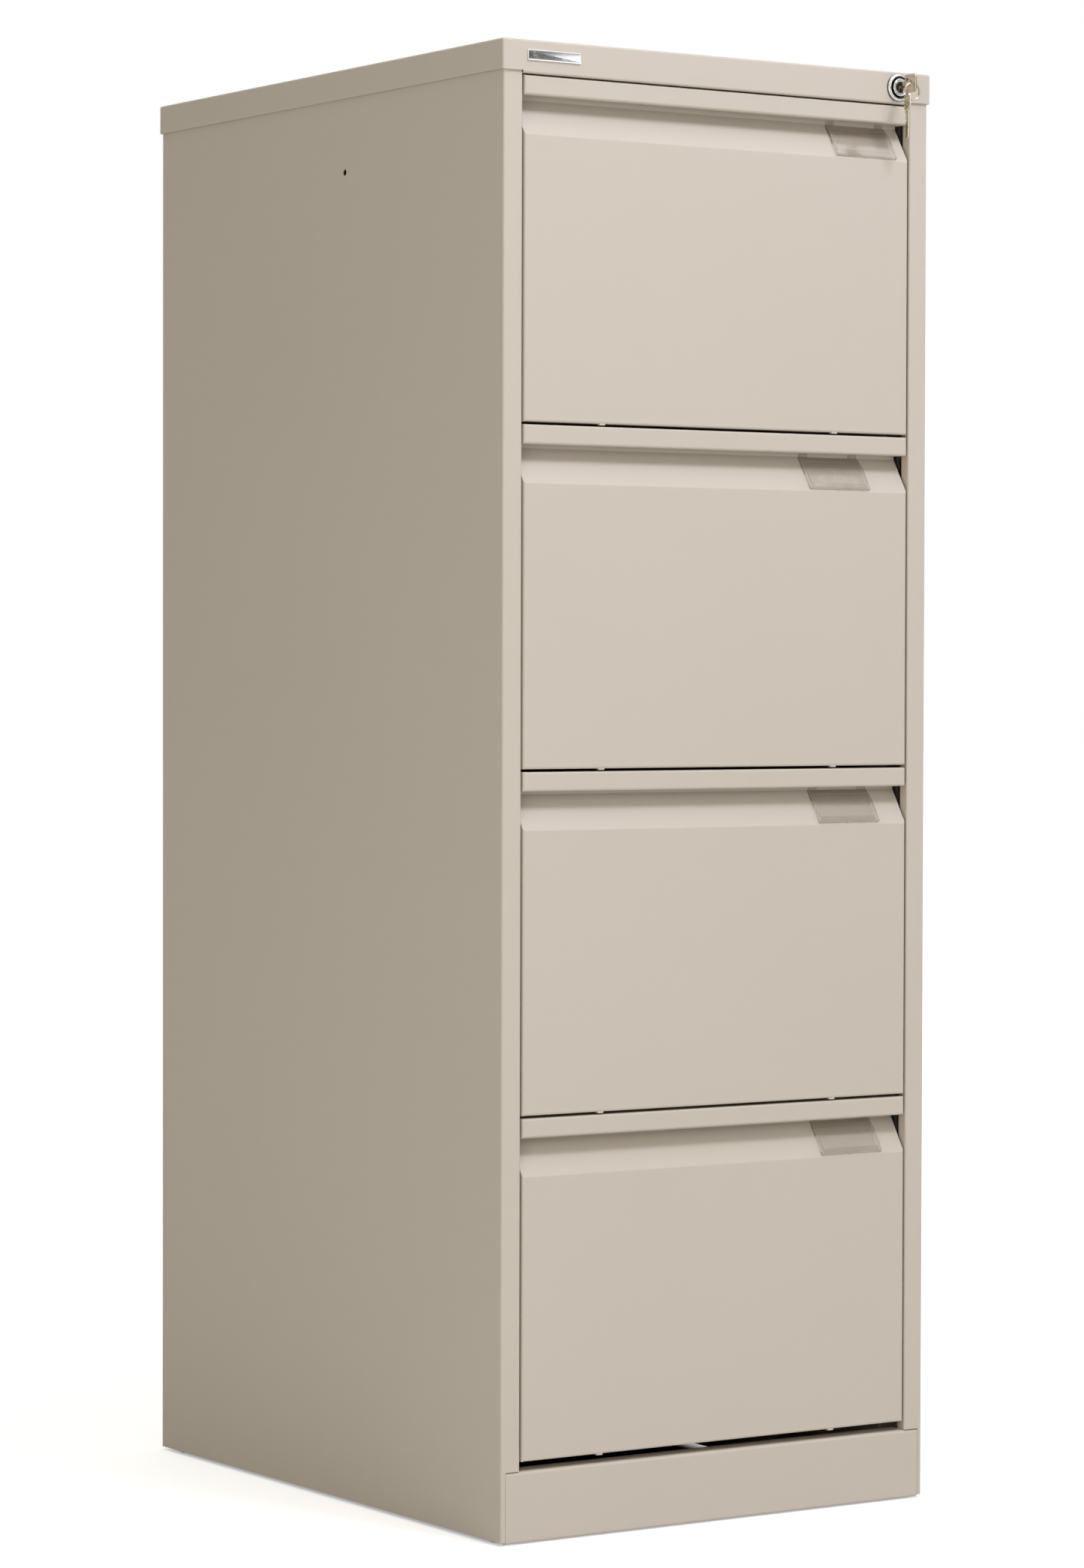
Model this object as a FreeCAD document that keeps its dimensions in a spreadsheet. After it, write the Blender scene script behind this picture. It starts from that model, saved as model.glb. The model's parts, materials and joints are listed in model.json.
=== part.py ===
import FreeCAD, Part
import math
import os
import re
import Sketcher
from FreeCAD import Placement, Rotation, Vector

# Four-drawer sheet-steel filing cabinet, in millimetres.
# X runs across the front (to the right when facing it), the front faces -Y, and Z is up.
# The origin is on the floor, under the middle of everything the cabinet takes up.
# Places along Y are given as a distance behind the face of the two front stiles, Sizes.front.
# Each drawer is modelled once, with Z = 0 at the top of its grip bar, and placed four times.

DRAWERS = (1, 2, 3, 4)
FRONT_SIZES = (
    ("width", 470, "overall width, over the top cover"),
    ("depth", 622, "overall depth of the top cover"),
    ("height", 1321, "overall height"),
    ("front", -294.64, "Y of the front face of the stiles"),
    ("cover_lap", 2, "the cover stands this far outside the shell all round"),
    ("cover_skirt", 27, "height of the cover's folded rim"),
    ("cover_lip", 29.2, "height of the rim over the drawer opening"),
    ("sheet", 1, "thickness of shell and drawer sheet"),
    ("heavy", 1.5, "thickness of frame sheet"),
    ("bend", 2, "outside radius of a fold"),
    ("front_height", 302.5, "height of a drawer front"),
    ("front_half", 211, "half the width of a drawer front"),
    ("first_top", 1290.5, "height of the top drawer's grip bar"),
    ("pitch", 305, "distance from one drawer to the next"),
    ("grip_bar", 17, "height of the grip bar"),
    ("grip_depth", 20, "depth of the finger recess"),
    ("grip_wall", 20, "recess wall ends this far below the bar's top"),
    ("kink", 51.5, "recess slope meets the front face this far below the bar's top"),
    ("bar_return", 8, "depth of the fold under the bar"),
    ("side_fold", 22, "depth of the folds round the drawer front"),
)
SHELL_SIZES = (
    ("stile", 20, "width of a front stile"),
    ("stile_return", 12, "depth of the fold behind a stile"),
    ("stile_flange", 8, "width of the flange at the end of that fold"),
    ("rear_flange", 15, "width of the side panel's rear flange"),
    ("side_foot", 3, "height of the side panel's bottom edge"),
    ("link_hole_radius", 3, "radius of the hole for joining cabinets side by side"),
    ("link_hole_back", 269.8, "distance of that hole behind the stiles' face"),
    ("link_hole_height", 1226.7, "height of that hole"),
    ("plinth_top", 64.5, "height of the plinth's top edge"),
    ("plinth_bottom", 1.5, "height of the plinth's bottom edge"),
    ("plinth_half", 228, "half the width of the plinth"),
    ("plinth_shelf", 24, "depth of the fold along the plinth's top"),
    ("plinth_hem", 11, "depth of the fold along the plinth's bottom"),
    ("rail_bottom", 8, "height of the base rails' underside"),
    ("rail_top", 34, "height of the base rails' top"),
    ("rail_width", 30, "width of a base rail"),
    ("rail_start", 12, "base rails start this far behind the stiles' face"),
    ("rail_length", 588, "length of a base rail"),
    ("stud_radius", 4, "radius of a foot's threaded stud"),
    ("upright_width", 40, "width of an upright"),
    ("upright_top", 1290, "height of the uprights' top"),
    ("front_upright", 39, "front uprights start this far behind the stiles' face"),
    ("rear_upright", 549, "rear uprights start this far behind the stiles' face"),
    ("foot_radius", 11, "radius of a levelling foot"),
    ("foot_height", 6, "thickness of a levelling foot"),
    ("foot_x", 216, "distance of a foot from the middle"),
    ("foot_front", 25, "distance of the front feet behind the stiles' face"),
    ("foot_rear", 590, "distance of the rear feet behind the stiles' face"),
)
DRAWER_SIZES = (
    ("tray_half", 201.3, "half the outside width of a drawer tray"),
    ("tray_start", 23, "front end of the tray"),
    ("tray_end", 579, "rear end of the tray"),
    ("tray_bottom", 290, "underside of the tray below the bar's top"),
    ("tray_top", 50, "shelf of the hanging rail below the bar's top"),
    ("hanger_step", 8, "the hanging rail is folded in this far"),
    ("hanger_rise", 6, "and then up this far"),
    ("slide_gap", 12.7, "space for a slide beside the tray"),
    ("slide_drop", 215, "middle line of the slides below the bar's top"),
    ("slide_start", 35, "front end of the slides"),
    ("slide_length", 550, "length of the outer slide member"),
    ("slide_sheet", 1.2, "thickness of the slide members"),
    ("outer_half", 22.5, "half the height of the outer member"),
    ("middle_half", 17.3, "half the height of the middle member"),
    ("inner_half", 12.1, "half the height of the inner member"),
    ("cage_start", 155, "first ball stands this far behind the slide's front end"),
    ("notch_gap", 0.2, "clearance of the notches for the tray's sides"),
    ("ball_radius", 1.8, "radius of the slide balls"),
    ("ball_x", 205.5, "distance of the balls from the middle"),
    ("holder_width", 68, "width of a label holder"),
    ("holder_left_1", 129, "left edge of the top drawer's label holder"),
    ("holder_left_2", 100, "left edge of the second drawer's label holder"),
    ("holder_left_3", 112, "left edge of the third drawer's label holder"),
    ("holder_left_4", 116.5, "left edge of the bottom drawer's label holder"),
    ("lug_top", 115, "top of the catch lug below the bar's top"),
)
LOCK_SIZES = (
    ("badge_left", -209.8, "left edge of the badge"),
    ("badge_width", 56.2, "width of the badge"),
    ("lock_x", 197.5, "distance of the lock from the middle"),
    ("lock_height", 1306.6, "height of the lock"),
    ("plug_radius", 6.5, "radius of the turning plug"),
    ("plug_fit", 0.05, "running clearance round the plug"),
    ("barrel_radius", 9.5, "radius of the lock's barrel"),
    ("barrel_end", 22, "rear end of the barrel"),
    ("rose_radius", 12.7, "radius of the bright ring round the plug"),
    ("nut_radius", 10.8, "radius of the nut on the barrel"),
    ("crank", 9, "distance of the cam's peg from the lock's axis"),
    ("peg_radius", 1.5, "radius of that peg"),
    ("bar_x", 214, "inner face of the lock bar"),
    ("bar_front", 17, "front edge of the lock bar"),
    ("bar_depth", 14, "width of the lock bar"),
    ("bar_sheet", 3, "thickness of the lock bar"),
    ("eye_out", 23.4, "the key's eye stands this far in front of the stiles' face"),
    ("eye_rise", 2.6, "height of the key's eye above the lock's axis"),
    ("ring_radius", 8, "middle radius of the key ring"),
    ("ring_wire", 0.55, "radius of the ring's wire"),
)

doc = FreeCAD.newDocument("FilingCabinet")
sheet = doc.addObject("Spreadsheet::Sheet", "Sizes")
subparts = []


def fill_sheet():
    rows = FRONT_SIZES + SHELL_SIZES + DRAWER_SIZES + LOCK_SIZES
    for row, (alias, number, meaning) in enumerate(rows, 1):
        sheet.set(f"A{row}", meaning)
        sheet.set(f"B{row}", str(number))
        sheet.setAlias(f"B{row}", alias)
    doc.recompute()


def sized(text):
    """Turn 'width/2 - sheet' into an expression on the spreadsheet's cells."""
    return re.sub(r"[a-z]\w*\b(?!\()", lambda word: "Sizes." + word.group(), str(text))


def number(text):
    return float(sheet.evalExpression(sized(text)))


def behind(distance):
    """Y of a plane that lies this far behind the stiles' face."""
    return f"front + ({distance})"


def bind(thing, **sizes):
    for name, text in sizes.items():
        thing.setExpression(name, sized(text))


def put(thing, x=0, y=0, z=0):
    for axis, text in zip("xyz", (x, y, z)):
        thing.setExpression("Placement.Base." + axis, sized(text))
    return thing


# Sketched outlines.
# A plane's name gives the directions of the sketch's own x and y.

PLANES = {
    "XY": (Vector(1, 0, 0), Vector(0, 1, 0), Vector(0, 0, 1)),
    "YZ": (Vector(0, 1, 0), Vector(0, 0, 1), Vector(1, 0, 0)),
    "XZ": (Vector(1, 0, 0), Vector(0, 0, 1), Vector(0, 1, 0)),
}


def rounded_corner(before, corner, after, radius):
    """Ends and middle of the arc that rounds a corner between two straight runs."""
    back = (before - corner).normalize()
    ahead = (after - corner).normalize()
    half_angle = back.getAngle(ahead) / 2
    run = radius / math.tan(half_angle)
    centre = corner + (back + ahead).normalize() * (radius / math.sin(half_angle))
    middle = centre + (corner - centre).normalize() * radius
    return corner + back * run, middle, corner + ahead * run


def outline(name, plane, corners, closed=False):
    """Sketch of straight runs whose corners (x, y, bend radius) are bound to the sheet."""
    sketch = doc.addObject("Sketcher::SketchObject", name)
    across, up, _ = PLANES[plane]
    sketch.Placement = Placement(Vector(), Rotation(across, up, across.cross(up), "ZXY"))
    points = [Vector(number(x), number(y), 0) for x, y, _ in corners]
    count = len(points)
    arcs = {}
    for i, (_, _, radius) in enumerate(corners):
        if radius:
            arcs[i] = rounded_corner(points[i - 1], points[i], points[(i + 1) % count], number(radius))
    lines = {}
    for i in range(count if closed else count - 1):
        j = (i + 1) % count
        start = arcs[i][2] if i in arcs else points[i]
        end = arcs[j][0] if j in arcs else points[j]
        lines[i] = sketch.addGeometry(Part.LineSegment(start, end))
    for i, point in enumerate(points):
        anchor = sketch.addGeometry(Part.Point(point), True)
        for kind, text in (("DistanceX", corners[i][0]), ("DistanceY", corners[i][1])):
            value = number(text)
            place = sketch.addConstraint(Sketcher.Constraint(kind, -1, 1, anchor, 1, value))
            sketch.setExpression(f"Constraints[{place}]", sized(text))
        arriving = lines.get((i - 1) % count)
        leaving = lines.get(i)
        if i in arcs:
            arc = sketch.addGeometry(Part.Arc(*arcs[i]))
            first, last = arc_ends(sketch, arc, arcs[i][0])
            sketch.addConstraint(Sketcher.Constraint("Tangent", arriving, 2, arc, first))
            sketch.addConstraint(Sketcher.Constraint("Tangent", arc, last, leaving, 1))
            sketch.addConstraint(Sketcher.Constraint("PointOnObject", anchor, 1, arriving))
            sketch.addConstraint(Sketcher.Constraint("PointOnObject", anchor, 1, leaving))
            value = number(corners[i][2])
            place = sketch.addConstraint(Sketcher.Constraint("Radius", arc, value))
            sketch.setExpression(f"Constraints[{place}]", sized(corners[i][2]))
            continue
        if arriving is not None:
            sketch.addConstraint(Sketcher.Constraint("Coincident", arriving, 2, anchor, 1))
        if leaving is not None:
            sketch.addConstraint(Sketcher.Constraint("Coincident", leaving, 1, anchor, 1))
    return sketch


def arc_ends(sketch, arc, start):
    """Sketcher draws every arc anticlockwise, so find which of its ends the run starts from."""
    if sketch.getPoint(arc, 1).distanceToPoint(start) < sketch.getPoint(arc, 2).distanceToPoint(start):
        return 1, 2
    return 2, 1


def extruded(name, section, plane, start, length):
    """A section pushed along the third axis of its plane, from start."""
    solid = doc.addObject("Part::Extrusion", name)
    solid.Base = section
    solid.DirMode = "Custom"
    solid.Dir = PLANES[plane][2]
    solid.Solid = True
    bind(solid, LengthFwd=length)
    axis = {"XY": "z", "YZ": "x", "XZ": "y"}[plane]
    return put(solid, **{axis: start})


def folded(name, plane, corners, thickness, start, length):
    """Folded sheet: a bent line thickened to its right-hand side (left if negative), then extruded."""
    line = outline(name + "Line", plane, corners)
    if plane == "XZ":
        # This plane's own normal points to -Y, and the offset is counted from its other side.
        thickness = f"-({thickness})"
    section = doc.addObject("Part::Offset2D", name + "Section")
    section.Source = line
    section.Fill = True
    section.Mode = "Skin"
    bind(section, Value=thickness)
    return extruded(name, section, plane, start, length)


def cut_plate(name, plane, corners, start, length):
    """A flat plate or block with a sketched outline."""
    return extruded(name, outline(name + "Outline", plane, corners, closed=True), plane, start, length)


def turned(name, corners):
    """A turned piece about its own Y axis, from its outline in radius and distance along the axis."""
    solid = doc.addObject("Part::Revolution", name)
    solid.Source = outline(name + "Outline", "XY", corners, closed=True)
    solid.Axis = Vector(0, 1, 0)
    solid.Angle = 360
    solid.Solid = True
    return solid


# Plain solids and joined solids.

def block(name, x, y, z):
    """A box between two places along each axis."""
    box = doc.addObject("Part::Box", name)
    bind(box, Length=f"({x[1]}) - ({x[0]})", Width=f"({y[1]}) - ({y[0]})", Height=f"({z[1]}) - ({z[0]})")
    return put(box, x[0], y[0], z[0])


AXES = {"X": Rotation(Vector(0, 1, 0), 90), "Y": Rotation(Vector(1, 0, 0), -90), "Z": Rotation()}


def rod(name, axis, radius, start, length):
    """A cylinder from start, along X, Y or Z."""
    cylinder = doc.addObject("Part::Cylinder", name)
    cylinder.Placement = Placement(Vector(), AXES[axis])
    bind(cylinder, Radius=radius, Height=length)
    return put(cylinder, *start)


def joined(name, *pieces):
    fusion = doc.addObject("Part::MultiFuse", name)
    fusion.Shapes = list(pieces)
    fusion.Refine = True
    return fusion


def cut(name, piece, *tools):
    result = doc.addObject("Part::Cut", name)
    result.Base = piece
    result.Tool = tools[0] if len(tools) == 1 else gathered(name + "Tools", *tools)
    return result


def gathered(name, *pieces):
    group = doc.addObject("Part::Compound", name)
    group.Links = list(pieces)
    return group


def mirrored(piece):
    """The same piece on the other side of the cabinet."""
    twin = doc.addObject("Part::Mirroring", piece.Name + "Twin")
    twin.Source = piece
    twin.Normal = Vector(1, 0, 0)
    return twin


def subpart(label, *pieces, x=0, y=0, z=0):
    """A finished sub-part: its solids under one label, put in place."""
    group = put(gathered(label, *pieces), x, y, z)
    group.Label = label
    subparts.append(group)
    return group


# Shell.

def side_panels():
    half = "(width/2 - cover_lap)"
    inner = f"{half} - stile"
    corners = (
        (f"{inner} + stile_flange", behind("stile_return"), None),
        (inner, behind("stile_return"), "bend"),
        (inner, behind(0), "bend"),
        (half, behind(0), "bend"),
        (half, behind("depth - 2*cover_lap"), "bend"),
        (f"{half} - rear_flange", behind("depth - 2*cover_lap"), None),
    )
    panel = folded("SidePanel", "XY", corners, "-sheet", "side_foot", "height - sheet - side_foot")
    foot_notch = block(
        "FootNotch",
        (f"{inner} - 1", "plinth_half + 0.3"),
        (behind(-1), behind("stile_return + sheet + 1")),
        (0, "plinth_top + 0.3"),
    )
    link_hole = rod(
        "LinkHole", "X", "link_hole_radius",
        (f"{half} - 2*sheet", behind("link_hole_back"), "link_hole_height"), "4*sheet",
    )
    right = cut("RightSide", panel, foot_notch, link_hole)
    subpart("right_side_panel", right)
    subpart("left_side_panel", mirrored(right))


def back_panel():
    rear = behind("depth - 2*cover_lap - sheet")
    front_edge = behind("depth - 2*cover_lap - sheet - 12")
    corners = (
        (front_edge, "side_foot", None),
        (rear, "side_foot", "bend"),
        (rear, "height - 2*sheet", "bend"),
        (front_edge, "height - 2*sheet", None),
    )
    panel = folded("BackPanel", "YZ", corners, "-sheet", "-width/2 + 5", "width - 10")
    subpart("back_panel", panel)


def top_cover():
    """A tray-like cap: folded rim all round, with a rolled lip over the drawer opening."""
    body = doc.addObject("PartDesign::Body", "CoverBody")
    plane = next(item for item in body.Origin.OriginFeatures if item.Role == "XY_Plane")
    sketch = body.newObject("Sketcher::SketchObject", "CoverOutline")
    sketch.AttachmentSupport = (plane, [""])
    sketch.MapMode = "FlatFace"
    rectangle(sketch, ("-width/2", behind("-cover_lap")), ("width/2", behind("depth - cover_lap")))
    pad = body.newObject("PartDesign::Pad", "CoverPad")
    pad.Profile = sketch
    bind(pad, Length="cover_skirt")
    doc.recompute()
    rounding = body.newObject("PartDesign::Fillet", "CoverRounding")
    edges = [f"Edge{i}" for i, edge in enumerate(pad.Shape.Edges, 1) if edge.BoundBox.ZMax > 1]
    rounding.Base = (pad, edges)
    bind(rounding, Radius="bend")
    doc.recompute()
    hollow = body.newObject("PartDesign::Thickness", "CoverHollow")
    faces = [f"Face{i}" for i, face in enumerate(rounding.Shape.Faces, 1) if face.BoundBox.ZMax < 0.01]
    hollow.Base = (rounding, faces)
    hollow.Reversed = True
    bind(hollow, Value="sheet")
    body.Tip = hollow
    put(body, z="height - cover_skirt")
    rim = behind("-cover_lap")
    corners = (
        (behind("-cover_lap + 9"), "height - cover_lip", None),
        (rim, "height - cover_lip", "bend"),
        (rim, "height - cover_skirt + 2", None),
    )
    half = "(width/2 - cover_lap - stile + 0.5)"
    lip = folded("CoverLip", "YZ", corners, "sheet", f"-{half}", f"2*{half}")
    cap = joined("Cover", body, lip)
    hole = rod("CoverLockHole", "Y", "barrel_radius + 0.2",
               ("lock_x", behind("-cover_lap - 1"), "lock_height"), "3")
    subpart("top_cover", cut("CoverDrilled", cap, hole))


def rectangle(sketch, low, high):
    """A rectangle whose corners are bound to the sheet."""
    corners = (low, (high[0], low[1]), high, (low[0], high[1]))
    points = [Vector(number(x), number(y), 0) for x, y in corners]
    for i in range(4):
        sketch.addGeometry(Part.LineSegment(points[i], points[(i + 1) % 4]))
    for i in range(4):
        sketch.addConstraint(Sketcher.Constraint("Coincident", i, 2, (i + 1) % 4, 1))
        for kind, text in zip(("DistanceX", "DistanceY"), corners[i]):
            place = sketch.addConstraint(Sketcher.Constraint(kind, -1, 1, i, 1, number(text)))
            sketch.setExpression(f"Constraints[{place}]", sized(text))


def plinth():
    corners = (
        (behind("plinth_shelf"), "plinth_top - 9", None),
        (behind("plinth_shelf"), "plinth_top", "bend"),
        (behind(0), "plinth_top", "3*bend/2"),
        (behind(0), "plinth_bottom", "bend"),
        (behind("plinth_hem"), "plinth_bottom", None),
    )
    subpart("plinth", folded("Plinth", "YZ", corners, "-sheet", "-plinth_half", "2*plinth_half"))


def base_rails():
    outer = "(width/2 - cover_lap - sheet)"
    corners = (
        (f"{outer} - rail_width", "rail_bottom", None),
        (outer, "rail_bottom", "bend"),
        (outer, "rail_top", "bend"),
        (f"{outer} - rail_width", "rail_top", None),
    )
    rail = folded("BaseRail", "XZ", corners, "-heavy", behind("rail_start"), "rail_length")
    holes = [
        rod("FootHole", "Z", "stud_radius + 0.2", ("foot_x", behind(place), "rail_bottom - 1"), "4")
        for place in ("foot_front", "foot_rear")
    ]
    right = cut("RightRail", rail, *holes)
    subpart("base_rails", right, mirrored(right))


def uprights(label, name, start):
    """A pair of channels, open towards the side panels, that carry the slides."""
    outer = "(width/2 - cover_lap - sheet)"
    inner = "tray_half + slide_gap"
    corners = (
        (outer, behind(start), None),
        (inner, behind(start), "bend"),
        (inner, behind(f"{start} + upright_width"), "bend"),
        (outer, behind(f"{start} + upright_width"), None),
    )
    post = folded(name, "XY", corners, "heavy", "rail_top", "upright_top - rail_top")
    subpart(label, post, mirrored(post))


def top_front_rail():
    """Joins the stiles behind the cover's rim and carries the lock."""
    corners = (
        (behind("16"), "height - 2*sheet", None),
        (behind(0), "height - 2*sheet", "bend"),
        (behind(0), "height - cover_skirt", None),
    )
    half = "(width/2 - cover_lap - stile - 0.5)"
    rail = folded("TopRail", "YZ", corners, "-slide_sheet", f"-{half}", f"2*{half}")
    hole = rod("RailLockHole", "Y", "barrel_radius + 0.2", ("lock_x", behind(-1), "lock_height"), "4")
    subpart("top_front_rail", cut("TopRailDrilled", rail, hole))


def levelling_feet():
    feet = []
    nuts = []
    for place in ("foot_front", "foot_rear"):
        y = behind(place)
        pad = rod("FootPad", "Z", "foot_radius", ("foot_x", y, 0), "foot_height")
        stud = rod("FootStud", "Z", "stud_radius", ("foot_x", y, "foot_height"), "22")
        foot = joined("Foot", pad, stud)
        nut = doc.addObject("Part::Prism", "NutBlank")
        bind(nut, Circumradius="7.5", Height="6.5")
        put(nut, "foot_x", y, "rail_bottom + heavy")
        bore = rod("NutBore", "Z", "stud_radius + 0.05", ("foot_x", y, "rail_bottom"), "20")
        drilled = cut("Nut", nut, bore)
        feet += [foot, mirrored(foot)]
        nuts += [drilled, mirrored(drilled)]
    subpart("levelling_feet", *feet)
    subpart("foot_nuts", *nuts)


def name_badge():
    """A plain bright plate with a raised border."""
    plate = block("BadgePlate", ("badge_left", "badge_left + badge_width"), (behind("-cover_lap - 0.9"), behind("-cover_lap")),
                  ("height - 18.2", "height - 8.4"))
    rim = block("BadgeRim", ("badge_left", "badge_left + badge_width"), (behind("-cover_lap - 1.6"), behind("-cover_lap - 0.9")),
                ("height - 18.2", "height - 8.4"))
    field = block("BadgeField", ("badge_left + 1", "badge_left + badge_width - 1"), (behind("-cover_lap - 2"), behind("-cover_lap - 0.9")),
                  ("height - 17.2", "height - 9.4"))
    subpart("name_badge", joined("Badge", plate, cut("BadgeBorder", rim, field)))


# Lock. Its own pieces are modelled round the plug's axis, and then put in place.

LOCK_PLACE = {"x": "lock_x", "y": behind(0), "z": "lock_height"}
PEG_RISE = "crank*sin(45)"


def lock_barrel():
    bore = "plug_radius + plug_fit"
    corners = (
        (bore, "-cover_lap - 4.5", None),
        ("plug_radius + 2.4", "-cover_lap - 4.5", "1"),
        ("rose_radius", "-cover_lap - 2.2", "1.5"),
        ("rose_radius", "-cover_lap", None),
        ("barrel_radius", "-cover_lap", None),
        ("barrel_radius", "barrel_end", None),
        (bore, "barrel_end", None),
    )
    subpart("lock_housing", turned("LockBarrel", corners), **LOCK_PLACE)
    corners = (
        ("barrel_radius + 0.05", "slide_sheet", None),
        ("nut_radius", "slide_sheet", None),
        ("nut_radius", "slide_sheet + 4", "0.8"),
        ("barrel_radius + 0.05", "slide_sheet + 4", None),
    )
    subpart("lock_nut", turned("LockNut", corners), **LOCK_PLACE)


def lock_plug():
    corners = (
        (0, "-cover_lap - 5", None),
        ("plug_radius", "-cover_lap - 5", "0.5"),
        ("plug_radius", "barrel_end + 1", None),
        (0, "barrel_end + 1", None),
    )
    keyway = block("Keyway", ("-1.1", "1.1"), ("-cover_lap - 6", "17"), ("-4", "4"))
    subpart("lock_plug", cut("PlugSlotted", turned("Plug", corners), keyway), **LOCK_PLACE)


def lock_cam():
    """Crank plate behind the plug. Its peg works in the lock bar's slot."""
    face = "barrel_end + 1"
    hub = rod("CamHub", "Y", "6", (0, face, 0), "2.5")
    arm = block("CamArm", (0, "crank"), (face, f"{face} + 2.5"), ("-4", "4"))
    tip = rod("CamTip", "Y", "4", ("crank", face, 0), "2.5")
    peg = rod("CamPeg", "Y", "peg_radius", ("crank", f"{face} + 2.5", 0), "5.5")
    plate = joined("Cam", hub, arm, tip, peg)
    plate.Placement = Placement(Vector(), Rotation(Vector(0, 1, 0), -45))
    subpart("lock_cam", plate, **LOCK_PLACE)
    screw = rod("CamScrewHead", "Y", "2.5", (0, f"{face} + 2.5", 0), "2.5")
    subpart("cam_screw", screw, **LOCK_PLACE)


def lock_bar():
    """Flat bar behind the right stile. A finger for each drawer drops in front of its catch lug."""
    inner = "bar_x"
    outer = "bar_x + bar_sheet"
    front = behind("bar_front")
    rear = behind("bar_front + bar_depth")
    pieces = [block("LockBarBlade", (inner, outer), (front, rear), ("236", "height - 5"))]
    slot_height = f"(lock_height + {PEG_RISE})"
    arm = block("LockBarArm", ("lock_x + 2.9", inner), (behind("26.5"), behind("29.5")),
                (f"{slot_height} - 4.9", f"{slot_height} + 4.9"))
    slot = block("LockBarSlot", (f"lock_x + {PEG_RISE} - 1.9", "lock_x + crank + 1.9"),
                 (behind("26"), behind("30")), (f"{slot_height} - 1.9", f"{slot_height} + 1.9"))
    pieces.append(cut("LockBarSlotted", arm, slot))
    for drawer in DRAWERS:
        bottom = f"({drawer_top(drawer)} - lug_top + 1.5)"
        pieces.append(block(f"Finger{drawer}", ("tray_half + 0.7", inner), (behind("24.5"), behind("27.5")),
                            (bottom, f"{bottom} + 12")))
    subpart("lock_bar", *pieces)


def lock_bar_guides():
    """Brackets on the stile's flange that the lock bar slides in."""
    guides = []
    window = block("GuideWindow", ("bar_x - 0.3", "bar_x + bar_sheet + 0.3"),
                   (behind("bar_front - 0.3"), behind("bar_front + bar_depth + 0.3")), (0, "height"))
    for height in ("1250", "760", "330"):
        bracket = block("GuideBracket", ("bar_x - 1.4", "bar_x + 6.5"), (behind("13"), behind("33")),
                        (height, f"{height} + 3"))
        guides.append(cut("Guide", bracket, window))
    subpart("lock_bar_guides", *guides)


def key():
    """The key in the plug. Its flat bow stands upright, with an eye for the ring."""
    blade = block("KeyBlade", ("-1", "1"), ("-cover_lap - 11", "16"), ("-3.8", "3.8"))
    bow = rod("KeyBow", "X", "8.5", ("-1", "-eye_out + 2.5", "eye_rise - 0.2"), "2")
    eye = rod("KeyEye", "X", "1.6", ("-2", "-eye_out", "eye_rise"), "4")
    subpart("key", cut("KeyPierced", joined("KeyBlank", blade, bow), eye), **LOCK_PLACE)


def key_ring():
    ring = doc.addObject("Part::Torus", "Ring")
    ring.Placement = Placement(Vector(), Rotation(Vector(1, 0, 0), 90))
    bind(ring, Radius1="ring_radius", Radius2="ring_wire")
    subpart("key_ring", ring, x="lock_x", y=behind("-eye_out"), z="lock_height + eye_rise - ring_radius")


def spare_key():
    """A second key, hanging from the ring by the eye in its bow."""
    blade = block("SpareBlade", ("-0.9", "0.9"), ("-3.4", "3.4"), ("-38", "-9"))
    bow = rod("SpareBow", "X", "7.5", ("-0.9", 0, "-3.9"), "1.8")
    eye = rod("SpareEye", "X", "2.3", ("-2", 0, 0), "4")
    notches = [
        block("SpareNotch", ("-2", "2"), ("2", "4"), (low, f"{low} + 3"))
        for low in ("-35", "-29.5", "-24")
    ]
    blank = joined("SpareBlank", blade, bow)
    spare = cut("SpareKey", blank, eye, *notches)
    spare.Placement = Placement(Vector(), Rotation(Vector(0, 0, 1), -20))
    reach = "ring_radius*sin(45)"
    subpart("spare_key", spare, x=f"lock_x - {reach}", y=behind("-eye_out"),
            z=f"lock_height + eye_rise - ring_radius - {reach}")


# Drawers.

def drawer_top(drawer):
    return f"(first_top - {drawer - 1}*pitch)"


def front_solid():
    """Drawer front folded from one sheet: face, recess slope and wall, and the grip bar."""
    fold = "front_height"
    corners = (
        (behind("side_fold"), f"-{fold}", None),
        (behind(0), f"-{fold}", "bend"),
        (behind(0), "-kink", "3"),
        (behind("grip_depth"), "-grip_wall", "2"),
        (behind("grip_depth"), "-sheet", "1"),
        (behind("sheet"), "-sheet", "1"),
        (behind("sheet"), "-grip_bar + sheet", "1"),
        (behind("bar_return"), "-grip_bar + sheet", None),
    )
    skin = folded("FrontSkin", "YZ", corners, "sheet", "-front_half", "2*front_half")
    side_outline = (
        (behind(0), f"-{fold}", None),
        (behind(0), "-kink", None),
        (behind("grip_depth"), "-grip_wall", None),
        (behind("side_fold"), "-grip_wall", None),
        (behind("side_fold"), f"-{fold}", None),
    )
    side = cut_plate("FrontSide", "YZ", side_outline, "front_half - sheet", "sheet")
    bar_end = block("BarEnd", ("front_half - sheet", "front_half"), (behind(0), behind("grip_depth + sheet")),
                    ("-grip_bar", 0))
    nib = block("FrontNib", ("125", "131"), (behind("0.6"), behind("4")), (f"-{fold} - 1.2", f"-{fold} + 0.5"))
    whole = joined("FrontWhole", skin, side, mirrored(side), bar_end, mirrored(bar_end), nib, mirrored(nib))
    limit_outline = (
        ("-front_half", behind(0), "bend"),
        ("front_half", behind(0), "bend"),
        ("front_half", behind("60"), None),
        ("-front_half", behind("60"), None),
    )
    limit = cut_plate("FrontLimit", "XY", limit_outline, f"-{fold} - 2", f"{fold} + 3")
    rounded = doc.addObject("Part::Common", "FrontRounded")
    rounded.Base = whole
    rounded.Tool = limit
    return rounded


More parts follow.
